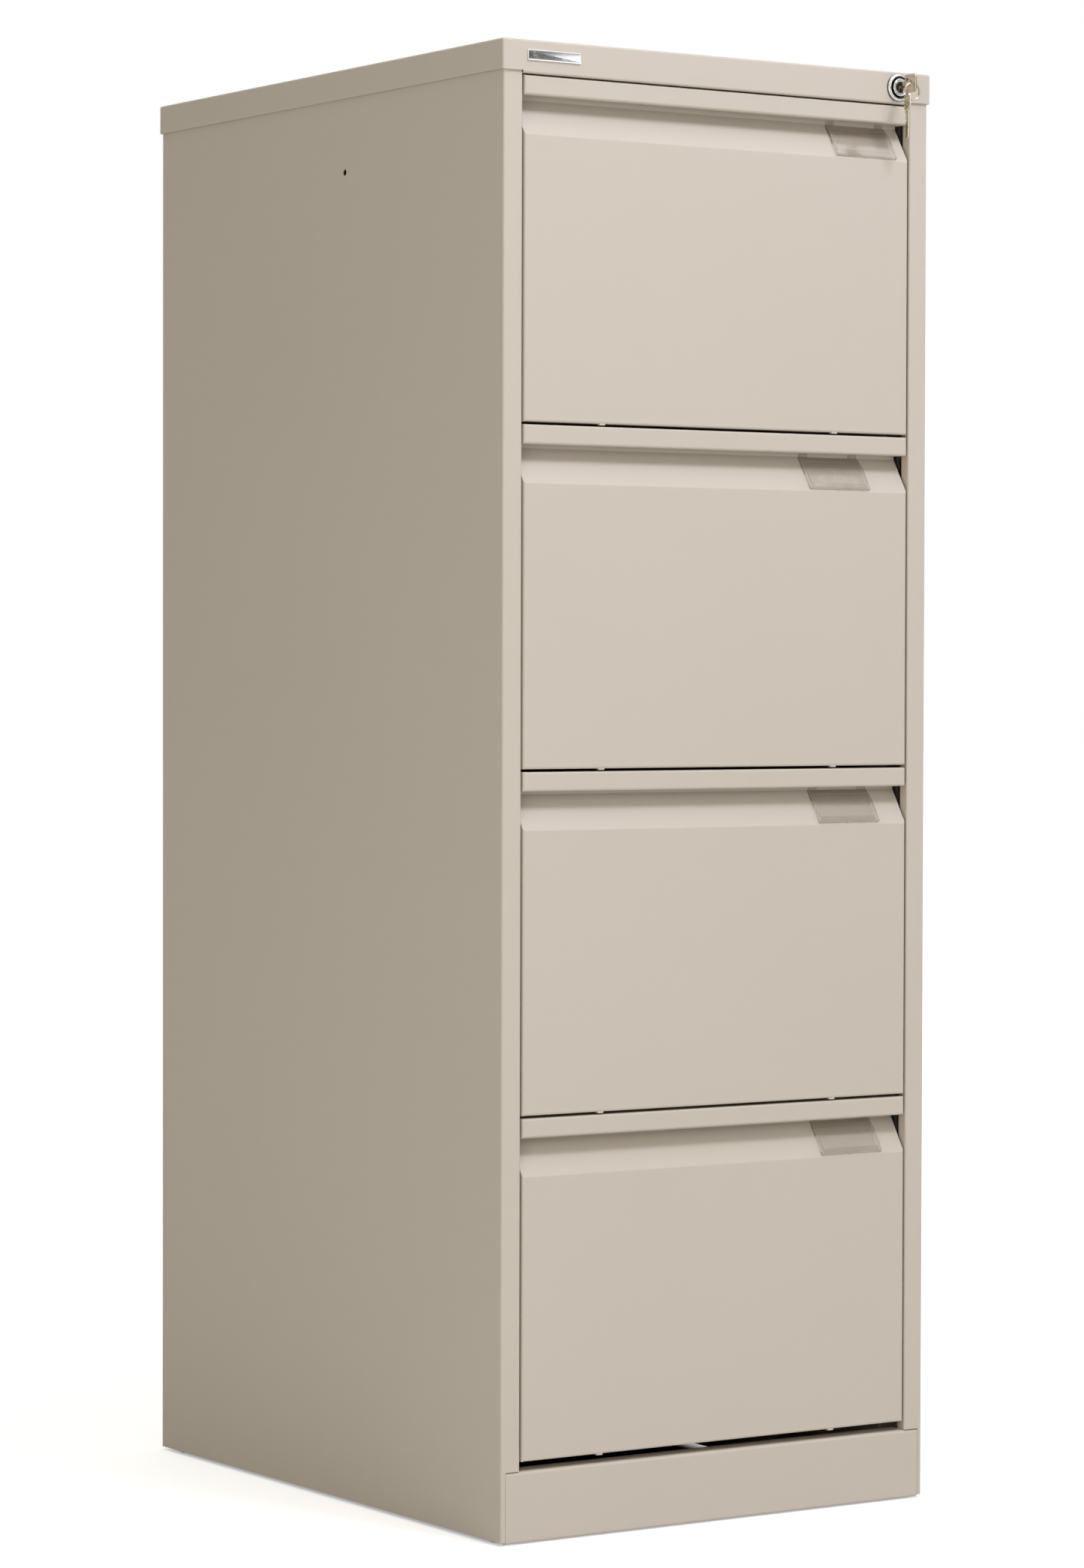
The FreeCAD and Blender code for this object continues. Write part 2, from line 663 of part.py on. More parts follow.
def liner_solid():
    """Inner panel that closes the back of the drawer front and carries the tray."""
    corners = (
        (behind("side_fold + 8"), "-front_height + 3.5", None),
        (behind("side_fold"), "-front_height + 3.5", "bend"),
        (behind("side_fold"), "-kink - 4.5", "bend"),
        (behind("side_fold + 8"), "-kink - 4.5", None),
    )
    panel = folded("Liner", "YZ", corners, "sheet", "-front_half + 1", "2*front_half - 2")
    notch = block(
        "LinerNotch",
        ("tray_half - sheet - notch_gap", "tray_half + notch_gap"),
        (behind("tray_start"), behind("tray_start + 8")),
        ("-kink - 6.5", "-kink - 4"),
    )
    return cut("LinerNotched", panel, notch, mirrored(notch))


def tray_solids():
    """Base and sides in one folded sheet, with rails for hanging files, and the lock's catch lug."""
    outer = "tray_half"
    inner = "(tray_half - hanger_step)"
    corners = (
        (f"-{inner}", "-tray_top + hanger_rise", None),
        (f"-{inner}", "-tray_top", "bend"),
        (f"-{outer}", "-tray_top", "bend"),
        (f"-{outer}", "-tray_bottom", "bend"),
        (outer, "-tray_bottom", "bend"),
        (outer, "-tray_top", "bend"),
        (inner, "-tray_top", "bend"),
        (inner, "-tray_top + hanger_rise", None),
    )
    tray = folded("Tray", "XZ", corners, "-sheet", behind("tray_start"), "tray_end - tray_start")
    lug = block("CatchLug", (outer, "tray_half + 5.5"), (behind("29"), behind("32")), ("-lug_top - 10", "-lug_top"))
    return tray, lug


def back_solid():
    rear = behind("tray_end - 1")
    flange = behind("tray_end - 9")
    corners = (
        (flange, "-tray_top - 12", None),
        (rear, "-tray_top - 12", "bend"),
        (rear, "-tray_bottom + sheet", "bend"),
        (flange, "-tray_bottom + sheet", None),
    )
    half = "(tray_half - sheet)"
    return folded("DrawerBack", "YZ", corners, "sheet", f"-{half}", f"2*{half}")


def holder_solid():
    """Clear label holder. It lies on the recess slope and hooks up behind the grip bar."""
    plate = block("HolderPlate", (0, "holder_width"), ("1.5", "36"), (0, "1"))
    lip = block("HolderLip", (0, "holder_width"), ("1.5", "3.5"), ("1", "3"))
    ridge = block("HolderRidge", (0, "holder_width"), ("29", "31"), ("1", "2.4"))
    ribs = [
        block("HolderRib", (x, f"{x} + 3"), ("3.5", "29"), ("1", "2.2"))
        for x in ("0", "holder_width - 3")
    ]
    shell = joined("HolderShell", plate, lip, ridge, *ribs)
    shell.Placement = Placement(Vector(), Rotation(Vector(1, 0, 0), 45))
    shell.setExpression("Placement.Rotation.Angle", sized("atan((kink - grip_wall)/grip_depth)"))
    put(shell, 0, behind(0), "-kink")
    tabs = [
        block("HolderTab", (x, f"{x} + 11"), (behind("grip_depth - 2.6"), behind("grip_depth - 1.1")),
              ("-grip_wall - 1.5", "-grip_wall + 13"))
        for x in ("2", "holder_width - 13")
    ]
    return joined("Holder", shell, *tabs)


def drawers():
    pieces = {
        "front": (front_solid(),),
        "front_liner": (liner_solid(),),
        "tray": tray_solids(),
        "back": (back_solid(),),
    }
    holder = holder_solid()
    for drawer in DRAWERS:
        top = drawer_top(drawer)
        for name, solids in pieces.items():
            subpart(f"drawer_{drawer}_{name}", *solids, z=top)
        subpart(f"drawer_{drawer}_label_holder", holder, x=f"holder_left_{drawer}", z=top)


# Slides. A three-piece ball slide stands between the tray's side and the uprights.
# The right-hand one is modelled with Z = 0 on its middle line.

def channel(name, web, edge, half_height, length):
    """A slide member: a web with two flanges, folded from sheet towards the edge."""
    side = "slide_sheet" if number(edge) < number(web) else "-slide_sheet"
    corners = (
        (edge, half_height, None),
        (web, half_height, "bend"),
        (web, f"-({half_height})", "bend"),
        (edge, f"-({half_height})", None),
    )
    return folded(name, "XZ", corners, side, behind("slide_start"), length)


def ball_cage(name, web, ball_height, length):
    """A thin folded cage with a row of balls in each flange."""
    half = f"{ball_height} + 0.25"
    corners = (
        ("ball_x - 2.1", half, None),
        (web, half, "1"),
        (web, f"-({half})", "1"),
        ("ball_x - 2.1", f"-({half})", None),
    )
    first = "slide_start + cage_start"
    cage = folded(name + "Sheet", "XZ", corners, "0.5", behind(f"{first} - 8"), length)
    balls = []
    for i in range(8):
        for sign in ("", "-"):
            ball = doc.addObject("Part::Sphere", name + "Ball")
            bind(ball, Radius="ball_radius")
            place = behind(f"{first} + {i}*({length} - 16)/7")
            balls.append(put(ball, "ball_x", place, f"{sign}({ball_height})"))
    return joined(name, cage, *balls)


def slides():
    outer = channel("OuterMember", "tray_half + slide_gap", "ball_x - 3.5", "outer_half", "slide_length")
    middle = channel("MiddleMember", "tray_half + 10.5", "ball_x - 2.6", "middle_half", "slide_length - 15")
    inner = channel("InnerMember", "tray_half", "ball_x + 3", "inner_half", "slide_length - 10")
    outer_cage = ball_cage("OuterCage", "tray_half + 11.25", "middle_half + 2", "239")
    inner_cage = ball_cage("InnerCage", "tray_half + 8.5", "inner_half + 2", "244")
    members = {
        "slide_inner": inner,
        "slide_middle": middle,
        "outer_cage": outer_cage,
        "inner_cage": inner_cage,
    }
    pairs = {name: (piece, mirrored(piece)) for name, piece in members.items()}
    outer_pair = gathered("OuterPair", outer, mirrored(outer))
    fixed = []
    for drawer in DRAWERS:
        line = f"{drawer_top(drawer)} - slide_drop"
        for name, pair in pairs.items():
            subpart(f"drawer_{drawer}_{name}", *pair, z=line)
        fixed.append(put(gathered(f"OuterPair{drawer}", outer_pair), z=line))
    subpart("slide_outer_members", *fixed)


def check_model():
    failed = [item.Name for item in doc.Objects if {"Invalid", "Error"} & set(item.State)]
    if failed:
        raise RuntimeError("objects failed to recompute: " + ", ".join(failed))
    for item in subparts:
        shape = item.Shape
        if shape.isNull() or not shape.isValid() or not shape.Solids:
            raise RuntimeError(item.Label + " has no valid solid")


def write_parts():
    os.makedirs("parts", exist_ok=True)
    for item in subparts:
        item.Shape.exportStep(f"parts/{item.Label}.step")
        print(f"{item.Label:28} {len(item.Shape.Solids):3} solids {item.Shape.Volume:12.0f} mm3")


def main():
    fill_sheet()
    side_panels()
    back_panel()
    top_cover()
    plinth()
    base_rails()
    uprights("front_uprights", "FrontUpright", "front_upright")
    uprights("rear_uprights", "RearUpright", "rear_upright")
    top_front_rail()
    levelling_feet()
    name_badge()
    lock_barrel()
    lock_plug()
    lock_cam()
    lock_bar()
    lock_bar_guides()
    key()
    key_ring()
    spare_key()
    drawers()
    slides()
    doc.recompute()
    check_model()
    write_parts()


main()
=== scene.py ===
"""Finishes and fittings for a four-drawer filing cabinet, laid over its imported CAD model."""

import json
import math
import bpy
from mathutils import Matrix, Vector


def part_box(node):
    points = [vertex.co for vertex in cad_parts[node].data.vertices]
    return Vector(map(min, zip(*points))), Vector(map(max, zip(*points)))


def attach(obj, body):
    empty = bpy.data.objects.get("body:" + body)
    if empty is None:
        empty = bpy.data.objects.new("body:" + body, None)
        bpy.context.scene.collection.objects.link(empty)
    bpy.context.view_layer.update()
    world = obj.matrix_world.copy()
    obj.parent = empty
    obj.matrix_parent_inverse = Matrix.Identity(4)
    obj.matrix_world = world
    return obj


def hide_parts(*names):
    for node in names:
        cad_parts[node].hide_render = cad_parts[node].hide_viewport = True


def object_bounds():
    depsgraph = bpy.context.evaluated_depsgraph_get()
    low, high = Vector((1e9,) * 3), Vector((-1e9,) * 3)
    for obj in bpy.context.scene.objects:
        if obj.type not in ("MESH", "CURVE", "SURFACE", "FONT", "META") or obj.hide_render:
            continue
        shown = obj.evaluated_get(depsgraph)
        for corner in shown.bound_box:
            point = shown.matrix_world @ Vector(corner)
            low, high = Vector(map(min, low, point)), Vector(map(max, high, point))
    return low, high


bl_info = {
    "name": "Filing Cabinet Finishes",
    "version": (1, 0, 0),
    "blender": (4, 5, 0),
    "location": "3D View > Sidebar > Cabinet",
    "description": "Paint, plating, lock, keys, label holders and studio for a steel filing cabinet",
    "category": "Object",
}

import bmesh
import bpy
from bpy.props import FloatProperty, FloatVectorProperty, IntProperty, PointerProperty
from mathutils import Matrix, Vector

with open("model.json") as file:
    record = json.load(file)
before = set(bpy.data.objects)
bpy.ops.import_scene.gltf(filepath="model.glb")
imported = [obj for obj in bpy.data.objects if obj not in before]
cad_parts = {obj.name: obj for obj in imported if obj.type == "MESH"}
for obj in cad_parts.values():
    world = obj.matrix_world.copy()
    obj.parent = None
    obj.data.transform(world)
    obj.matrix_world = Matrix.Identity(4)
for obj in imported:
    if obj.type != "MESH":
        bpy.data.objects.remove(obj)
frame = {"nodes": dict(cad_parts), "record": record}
CAD_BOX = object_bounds()

MM = 0.001
DRAWERS = (1, 2, 3, 4)

# Places that the pieces are set out from, in metres.

FRONT_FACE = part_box("left_side_panel")[0].y
GRIP_TOPS = {drawer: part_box(f"drawer_{drawer}_front")[1].z for drawer in DRAWERS}
PITCH = GRIP_TOPS[1] - GRIP_TOPS[2]
KINK = 51.5 * MM
WALL_BOTTOM = 20 * MM
RECESS = 20 * MM
LOCK_CENTRE = sum(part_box("lock_nut"), Vector()) / 2
TRAY_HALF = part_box("drawer_1_tray")[1].x
RUNNING_FIT = 0.08 * MM
EYE_REACH = 23.4 * MM
EYE_RISE = 2.6 * MM
KEY_EYE = Vector((LOCK_CENTRE.x, FRONT_FACE - EYE_REACH, LOCK_CENTRE.z + EYE_RISE))
CAD_WIRE = 0.55 * MM
RING_CENTRE = sum(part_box("key_ring"), Vector()) / 2
RING_RADIUS = (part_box("key_ring")[1].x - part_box("key_ring")[0].x) / 2 - CAD_WIRE
HANG_ANGLE = math.radians(45)
SPARE_EYE = RING_CENTRE - RING_RADIUS * Vector((math.cos(HANG_ANGLE), 0, math.sin(HANG_ANGLE)))


# Settings.

def colour(name, description, default):
    return FloatVectorProperty(
        name=name, description=description, default=default, subtype="COLOR", min=0, max=1
    )


def length(name, description, default):
    return FloatProperty(name=name, description=description, default=default, unit="LENGTH", min=0)


def share(name, description, default):
    return FloatProperty(
        name=name, description=description, default=default, subtype="FACTOR", min=0, max=1
    )


class CabinetPaint(bpy.types.PropertyGroup):
    """Powder coat on the sheet steel."""

    tint: colour("Paint colour", "Colour of the powder coat", (0.59, 0.52, 0.437))
    sheen: share("Roughness", "How matt the powder coat is", 0.46)
    peel: length("Orange peel", "Width of the ripples in the powder coat", 0.0022)
    mottle: share("Mottling", "How much the colour wanders over a panel", 0.018)
    dust: share("Dust", "Dust settled near the floor", 0.05)


class CabinetMetal(bpy.types.PropertyGroup):
    """Plated and bare metals."""

    zinc: colour("Zinc", "Colour of the plated slides and fasteners", (0.62, 0.63, 0.63))
    chrome: colour("Chrome", "Colour of the lock and the badge", (0.82, 0.82, 0.83))
    key: colour("Key metal", "Colour of the nickelled keys", (0.63, 0.565, 0.455))


class CabinetHolder(bpy.types.PropertyGroup):
    """Clear label holders."""

    width: length("Width", "Width of a label holder", 0.068)
    sheet: length("Sheet", "Thickness of the holder's back", 0.0009)
    rib: length("Rib height", "Height of the ribs at its ends", 0.0034)
    rib_width: length("Rib width", "Width of the ribs at its ends", 0.0024)
    lip: length("Lip", "Height of the lip that keeps the label in", 0.0058)
    tint: colour("Plastic colour", "Colour of the clear plastic", (0.955, 0.94, 0.925))
    clarity: share("Clarity", "Share of the light that passes straight through", 0.32)


class CabinetLock(bpy.types.PropertyGroup):
    """Cylinder lock in the cover's rim."""

    rose: length("Rose radius", "Radius of the bright ring round the plug", 0.0127)
    plug: length("Plug radius", "Radius of the turning plug", 0.00645)
    keyway_height: length("Keyway height", "Height of the keyhole", 0.0078)
    keyway_width: length("Keyway width", "Width of the keyhole", 0.0022)


class CabinetKeys(bpy.types.PropertyGroup):
    """Two flat keys on a split ring."""

    bow: length("Bow", "Size of the bow of the key in the lock", 0.0166)
    spare_bow: length("Spare bow", "Size of the spare key's bow", 0.0148)
    bow_corner: length("Bow corner", "Radius of the bow's corners", 0.003)
    thickness: length("Thickness", "Thickness of a key", 0.0019)
    wire: length("Wire radius", "Radius of the ring's wire", 0.0005)


class CabinetBadge(bpy.types.PropertyGroup):
    """Plain bright plate on the cover's rim."""

    corner: length("Corner", "Radius of the plate's corners", 0.0012)
    border: length("Border", "Width of the raised border", 0.0011)


class CabinetFixings(bpy.types.PropertyGroup):
    """Rivets through the trays."""

    rivet: length("Rivet", "Radius of a rivet's head", 0.0038)
    rivet_rise: length("Rivet rise", "Height of a rivet's head", 0.0013)
    sheet: length("Tray sheet", "Thickness of the tray's side", 0.001)


class CabinetFeet(bpy.types.PropertyGroup):
    """Levelling feet."""

    grips: IntProperty(name="Grips", description="Finger grips round a foot", default=20, min=3)
    thread: length("Thread", "Distance from one turn of the stud's thread to the next", 0.00125)
    plastic: colour("Foot colour", "Colour of the moulded feet", (0.022, 0.022, 0.023))


class CabinetStudio(bpy.types.PropertyGroup):
    """Floor, lamps and camera."""

    floor: colour("Floor colour", "Colour of the floor", (0.80, 0.795, 0.78))
    floor_lift: FloatProperty(
        name="Floor lift", description="Brightens the floor until it meets the backdrop", default=0.54, min=0
    )
    lens: FloatProperty(
        name="Lens", description="Focal length of the camera", default=108.59, unit="CAMERA", min=1
    )
    key_watts: FloatProperty(
        name="Main lamp", description="Power of the high softbox", default=38, unit="POWER", min=0
    )
    front_watts: FloatProperty(
        name="Front lamp", description="Power of the broad softbox in front", default=22, unit="POWER", min=0
    )
    side_watts: FloatProperty(
        name="Side lamp", description="Power of the softbox on the left", default=13, unit="POWER", min=0
    )
    top_sun: FloatProperty(
        name="Top light", description="Strength of the broad light from above", default=1.0, min=0
    )
    ambient: FloatProperty(
        name="Ambient", description="Strength of the light from all round", default=0.30, min=0
    )
    overhead_shine: FloatProperty(
        name="Overhead shine", description="How bright the ceiling looks in shiny parts", default=0.9, min=0
    )


SETTINGS = {
    "cabinet_paint": CabinetPaint,
    "cabinet_metal": CabinetMetal,
    "cabinet_holder": CabinetHolder,
    "cabinet_lock": CabinetLock,
    "cabinet_keys": CabinetKeys,
    "cabinet_badge": CabinetBadge,
    "cabinet_fixings": CabinetFixings,
    "cabinet_feet": CabinetFeet,
    "cabinet_studio": CabinetStudio,
}


# Shader maths.

class Wire:
    """An output socket. Arithmetic on it adds Math nodes to its tree."""

    def __init__(self, finish, socket):
        self.finish = finish
        self.socket = socket

    def maths(self, operation, first, second):
        return self.finish.node("Math", {"operation": operation}, {0: first, 1: second})

    def __add__(self, other):
        return self.maths("ADD", self, other)

    def __radd__(self, other):
        return self.maths("ADD", other, self)

    def __sub__(self, other):
        return self.maths("SUBTRACT", self, other)

    def __rsub__(self, other):
        return self.maths("SUBTRACT", other, self)

    def __mul__(self, other):
        return self.maths("MULTIPLY", self, other)

    def __rmul__(self, other):
        return self.maths("MULTIPLY", other, self)

    def __mod__(self, other):
        return self.maths("FLOORED_MODULO", self, other)

    def __rmod__(self, other):
        return self.maths("FLOORED_MODULO", other, self)

    def __pow__(self, other):
        return self.maths("POWER", self, other)

    def __rpow__(self, other):
        return self.maths("POWER", other, self)

    def ramp(self, low, high):
        """0 below low and 1 above high, with a smooth step between. low may be above high."""
        low, high, start, end = (low, high, 0, 1) if low < high else (high, low, 1, 0)
        return self.finish.node(
            "MapRange",
            {"interpolation_type": "SMOOTHSTEP"},
            {"Value": self, "From Min": low, "From Max": high, "To Min": start, "To Max": end},
        )


class Finish:
    """One material, or the world, and the nodes that make it."""

    def __init__(self, name, kind="materials"):
        self.owner = getattr(bpy.data, kind).new(name)
        self.owner.use_nodes = True
        self.tree = self.owner.node_tree
        self.tree.nodes.clear()
        self.place = self.node("TexCoord", output="Object")

    def node(self, kind, settings=None, values=None, output=0):
        node = self.tree.nodes.new("ShaderNode" + kind)
        for name, value in (settings or {}).items():
            setattr(node, name, value)
        for name, value in (values or {}).items():
            if isinstance(value, Wire):
                self.tree.links.new(value.socket, node.inputs[name])
            else:
                node.inputs[name].default_value = value
        return None if output is None else Wire(self, node.outputs[output])

    def noise(self, size, detail=2, roughness=0.5, stretch=None):
        """Noise from 0 to 1 whose patches are about this size. stretch makes them longer along an axis."""
        place = self.place
        if stretch:
            place = self.node(
                "VectorMath", {"operation": "MULTIPLY"}, {0: place, 1: [1 / s for s in stretch]}
            )
        return self.node(
            "TexNoise", None,
            {"Vector": place, "Scale": 1 / size, "Detail": detail, "Roughness": roughness},
        )

    def part_of_place(self, axis):
        return self.node("SeparateXYZ", None, {0: self.place}, output=axis)

    def blend(self, mask, first, second):
        """first where mask is 0, and second where it is 1."""
        return self.node(
            "Mix", {"data_type": "RGBA"},
            {"Factor": mask, 6: as_colour(first), 7: as_colour(second)}, output=2,
        )

    def relief(self, *layers):
        """Stack bumps. Each layer is a height from 0 to 1 and its depth in metres."""
        normal = None
        for height, depth in layers:
            values = {"Height": height, "Distance": depth, "Strength": 1}
            if normal:
                values["Normal"] = normal
            normal = self.node("Bump", None, values)
        return normal

    def surface(self, **values):
        named = {name.replace("_", " ").title(): as_colour(value) for name, value in values.items()}
        named = {{"Ior": "IOR"}.get(name, name): value for name, value in named.items()}
        return self.node("BsdfPrincipled", None, named)

    def done(self, shader, end="OutputMaterial"):
        """Put the shader on the output, and hand over the material or world."""
        self.node(end, None, {"Surface": shader}, output=None)
        return self.owner


def as_colour(value):
    """Give three numbers their alpha, and leave anything else as it is."""
    if isinstance(value, Wire) or not hasattr(value, "__len__"):
        return value
    return (*value, 1) if len(value) == 3 else tuple(value)


def shaded(tint, factor):
    return tuple(min(1, channel * factor) for channel in tint)


def powder_coat(name, handled=False):
    """Semi-matt powder coat. handled polishes the grip bars, where hands pull them."""
    paint = bpy.context.scene.cabinet_paint
    finish = Finish(name)
    height = finish.part_of_place("Z")
    cloud = finish.noise(0.28, 3)
    speckle = finish.noise(0.0016, 3, 0.65)
    low_dust = height.ramp(0.16, 0.0) * finish.noise(0.03, 4, 0.6)
    base = finish.blend(cloud, shaded(paint.tint, 1 - paint.mottle), shaded(paint.tint, 1 + paint.mottle))
    base = finish.blend(speckle * 0.12, base, shaded(paint.tint, 0.9))
    base = finish.blend(low_dust * paint.dust, base, (0.32, 0.29, 0.25))
    roughness = paint.sheen + (cloud - 0.5) * 0.05 + (speckle - 0.5) * 0.07 + low_dust * 0.18
    if handled:
        below_top = (GRIP_TOPS[1] - height) % PITCH
        middle = finish.node("Math", {"operation": "ABSOLUTE"}, {0: finish.part_of_place("X")})
        rub = below_top.ramp(0.024, 0.010) * middle.ramp(0.17, 0.05) * finish.noise(0.012, 3).ramp(0.3, 0.7)
        roughness = roughness - rub * 0.09
        base = finish.blend(rub * 0.06, base, shaded(paint.tint, 0.82))
    ripples = finish.noise(paint.peel, 2, 0.45)
    grain = finish.noise(paint.peel / 5, 2, 0.6)
    sway = finish.noise(0.22, 1, 0.3)
    normal = finish.relief((sway, 0.0011), (ripples, 0.000035), (grain, 0.000007))
    return finish.done(finish.surface(base_color=base, roughness=roughness, ior=1.47, normal=normal))


def zinc_plate(name, brushed=(1, 30, 1)):
    """Bright zinc on rolled strip, with faint rolling lines and dull patches."""
    metal = bpy.context.scene.cabinet_metal
    finish = Finish(name)
    lines = finish.noise(0.0007, 3, 0.6, stretch=brushed)
    patches = finish.noise(0.018, 4, 0.6)
    base = finish.blend(patches.ramp(0.35, 0.75), metal.zinc, shaded(metal.zinc, 0.8))
    base = finish.blend(lines * 0.25, base, shaded(metal.zinc, 0.72))
    roughness = 0.27 + patches * 0.14 + lines * 0.08
    normal = finish.relief((lines, 0.000012), (finish.noise(0.004, 2), 0.00002))
    return finish.done(finish.surface(base_color=base, metallic=1, roughness=roughness, normal=normal))


def distance_from_lock(finish):
    """Distance from the axis that the plug turns on."""
    across = finish.part_of_place("X") - LOCK_CENTRE.x
    up = finish.part_of_place("Z") - LOCK_CENTRE.z
    return (across * across + up * up) ** 0.5


def bright_chrome(name, satin=0, dark_rings=()):
    """Bright plate. dark_rings are inner and outer radii of rings round the lock that are darkened almost to
    black; round the rose this is painted shade in its groove and at its foot.
    """
    metal = bpy.context.scene.cabinet_metal
    finish = Finish(name)
    smudge = finish.noise(0.006, 4, 0.6).ramp(0.45, 0.75)
    hairlines = finish.noise(0.00035, 2, 0.6, stretch=(12, 1, 1))
    base = finish.blend(smudge * 0.25, metal.chrome, shaded(metal.chrome, 0.86))
    soft = 0.3 * MM
    for inner, outer in dark_rings:
        radius = distance_from_lock(finish)
        # Painted shade: each ring is darkened almost to black.
        darkening = radius.ramp(inner - soft, inner + soft) * radius.ramp(outer + soft, outer - soft)
        base = finish.blend(darkening * 0.94, base, (0.02, 0.018, 0.015))
    roughness = 0.055 + satin + smudge * 0.12 + hairlines * (0.03 + satin / 2)
    normal = finish.relief((hairlines, 0.000003 + satin * 0.00002), (finish.noise(0.003, 2), 0.000008))
    return finish.done(finish.surface(base_color=base, metallic=1, roughness=roughness, normal=normal))


def worn_nickel(name):
    """Nickel on brass, scratched, with the brass showing through where it is rubbed."""
    metal = bpy.context.scene.cabinet_metal
    finish = Finish(name)
    rubbed = finish.noise(0.0045, 4, 0.65).ramp(0.48, 0.7)
    scratches = finish.noise(0.0003, 3, 0.7, stretch=(1, 14, 3)).ramp(0.5, 0.72)
    # Dirt darkens the key metal in patches.
    darkening = finish.noise(0.002, 4, 0.7).ramp(0.55, 0.8)
    base = finish.blend(rubbed * 0.55, metal.key, (0.60, 0.47, 0.27))
    base = finish.blend(scratches * 0.35, base, shaded(metal.key, 1.25))
    base = finish.blend(darkening * 0.4, base, (0.24, 0.19, 0.13))
    roughness = 0.2 + rubbed * 0.12 + scratches * 0.12 + darkening * 0.2
    normal = finish.relief((scratches, 0.000012), (finish.noise(0.0012, 3), 0.00003))
    return finish.done(finish.surface(base_color=base, metallic=1, roughness=roughness, normal=normal))


def clear_plastic(name):
    """Clear moulded plastic that lets lamplight through to the paint behind it."""
    holder = bpy.context.scene.cabinet_holder
    finish = Finish(name)
    haze = finish.noise(0.009, 3, 0.6)
    scuffs = finish.noise(0.0012, 3, 0.7, stretch=(4, 1, 1)).ramp(0.58, 0.8)
    base = finish.blend(haze * 0.5, holder.tint, shaded(holder.tint, 0.95))
    roughness = 0.04 + haze * 0.05 + scuffs * 0.15
    normal = finish.relief((finish.noise(0.011, 2), 0.00012), (finish.noise(0.0016, 2), 0.000012))
    glass = finish.surface(
        base_color=base, roughness=roughness, ior=1.49, transmission_weight=1, normal=normal
    )
    through = finish.node("BsdfTransparent", None, {"Color": as_colour(shaded(holder.tint, 0.93))})
    shadow = finish.node("LightPath", output="Is Shadow Ray")
    gathered = shadow + finish.node("LightPath", output="Is Diffuse Ray")
    straight = finish.node("Math", {"operation": "MAXIMUM"}, {0: gathered, 1: holder.clarity})
    return finish.done(finish.node("MixShader", None, {0: straight, 1: glass, 2: through}))


def black_plastic(name):
    feet = bpy.context.scene.cabinet_feet
    finish = Finish(name)
    grain = finish.noise(0.0006, 3, 0.6)
    dust = finish.noise(0.008, 4, 0.6).ramp(0.45, 0.8)
    base = finish.blend(dust * 0.25, feet.plastic, (0.12, 0.115, 0.105))
    roughness = 0.42 + grain * 0.1 + dust * 0.2
    normal = finish.relief((grain, 0.00003))
    return finish.done(finish.surface(base_color=base, roughness=roughness, normal=normal))


def floor_finish(name):
    studio = bpy.context.scene.cabinet_studio
    finish = Finish(name)
    cloud = finish.noise(0.9, 2)
    base = finish.blend(cloud, studio.floor, shaded(studio.floor, 0.99))
    low, high = CAD_BOX
    past_edge, inside_edge = 4 * MM, 30 * MM
    covered = []
    for axis, start, end in (("X", low.x, high.x), ("Y", FRONT_FACE, high.y)):
        away = finish.node(
            "Math", {"operation": "ABSOLUTE"}, {0: finish.part_of_place(axis) - (start + end) / 2}
        )
        covered.append(away.ramp((end - start) / 2 + past_edge, (end - start) / 2 - inside_edge))
    outside = 1 - covered[0] * covered[1]
    # Painted shadow: from 4 mm outside the cabinet's footprint to 30 mm inside it, the floor fades to near black.
    shown = finish.blend(outside, (0.02, 0.02, 0.02), base)
    matt = finish.surface(base_color=shown, roughness=0.6 + cloud * 0.05)
    glow = finish.node("Emission", None, {"Color": (1, 1, 1, 1), "Strength": studio.floor_lift})
    lifted = finish.node("AddShader", None, {0: matt, 1: glow})
    seen = finish.node("LightPath", output="Is Camera Ray") * outside
    return finish.done(finish.node("MixShader", None, {0: seen, 1: matt, 2: lifted}))


# Mesh making.

def shaped(name, mesh, material, body, replaces=(), bevel=0.0, segments=2, angle=35):
    """Make a piece of a finished mesh. It rides on a body, and stands for the CAD nodes that it replaces."""
    piece = bpy.data.objects.new(name, mesh)
    bpy.context.scene.collection.objects.link(piece)
    mesh.materials.clear()
    mesh.materials.append(material)
    mesh.shade_smooth()
    mesh.set_sharp_from_angle(angle=math.radians(angle))
    if bevel:
        rounding = piece.modifiers.new("Rounded edges", "BEVEL")
        rounding.width = bevel
        rounding.segments = segments
        rounding.limit_method = "ANGLE"
        rounding.angle_limit = math.radians(30)
        rounding.harden_normals = True
    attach(piece, body)
    if replaces:
        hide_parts(*replaces)
    return piece


def mesh_of(name, build):
    """A mesh whose faces are added by build and turned to face outwards."""
    form = bmesh.new()
    build(form)
    bmesh.ops.recalc_face_normals(form, faces=form.faces)
    mesh = bpy.data.meshes.new(name)
    form.to_mesh(mesh)
    form.free()
    return mesh


def bridged(form, ring, after):
    """Join two rings of equal length with quads."""
    for i in range(len(ring)):
        j = (i + 1) % len(ring)
        form.faces.new((ring[i], ring[j], after[j], after[i]))


def lathe(form, profile, place, segments=96):
    """Turn a closed profile of (radius, distance along the axis). place gives a point for (u, v, along)."""
    rings = []
    for radius, along in profile:
        ring = []
        for i in range(segments):
            turn = 2 * math.pi * i / segments
            ring.append(form.verts.new(place(radius * math.cos(turn), radius * math.sin(turn), along)))
        rings.append(ring)
    for ring, after in zip(rings, rings[1:] + rings[:1]):
        bridged(form, ring, after)


def lofted(form, loops):
    """Join loops of equal length with quads, and close the two ends."""
    rings = [[form.verts.new(point) for point in loop] for loop in loops]
    for ring, after in zip(rings, rings[1:]):
        bridged(form, ring, after)
    form.faces.new(rings[0])
    form.faces.new(rings[-1])


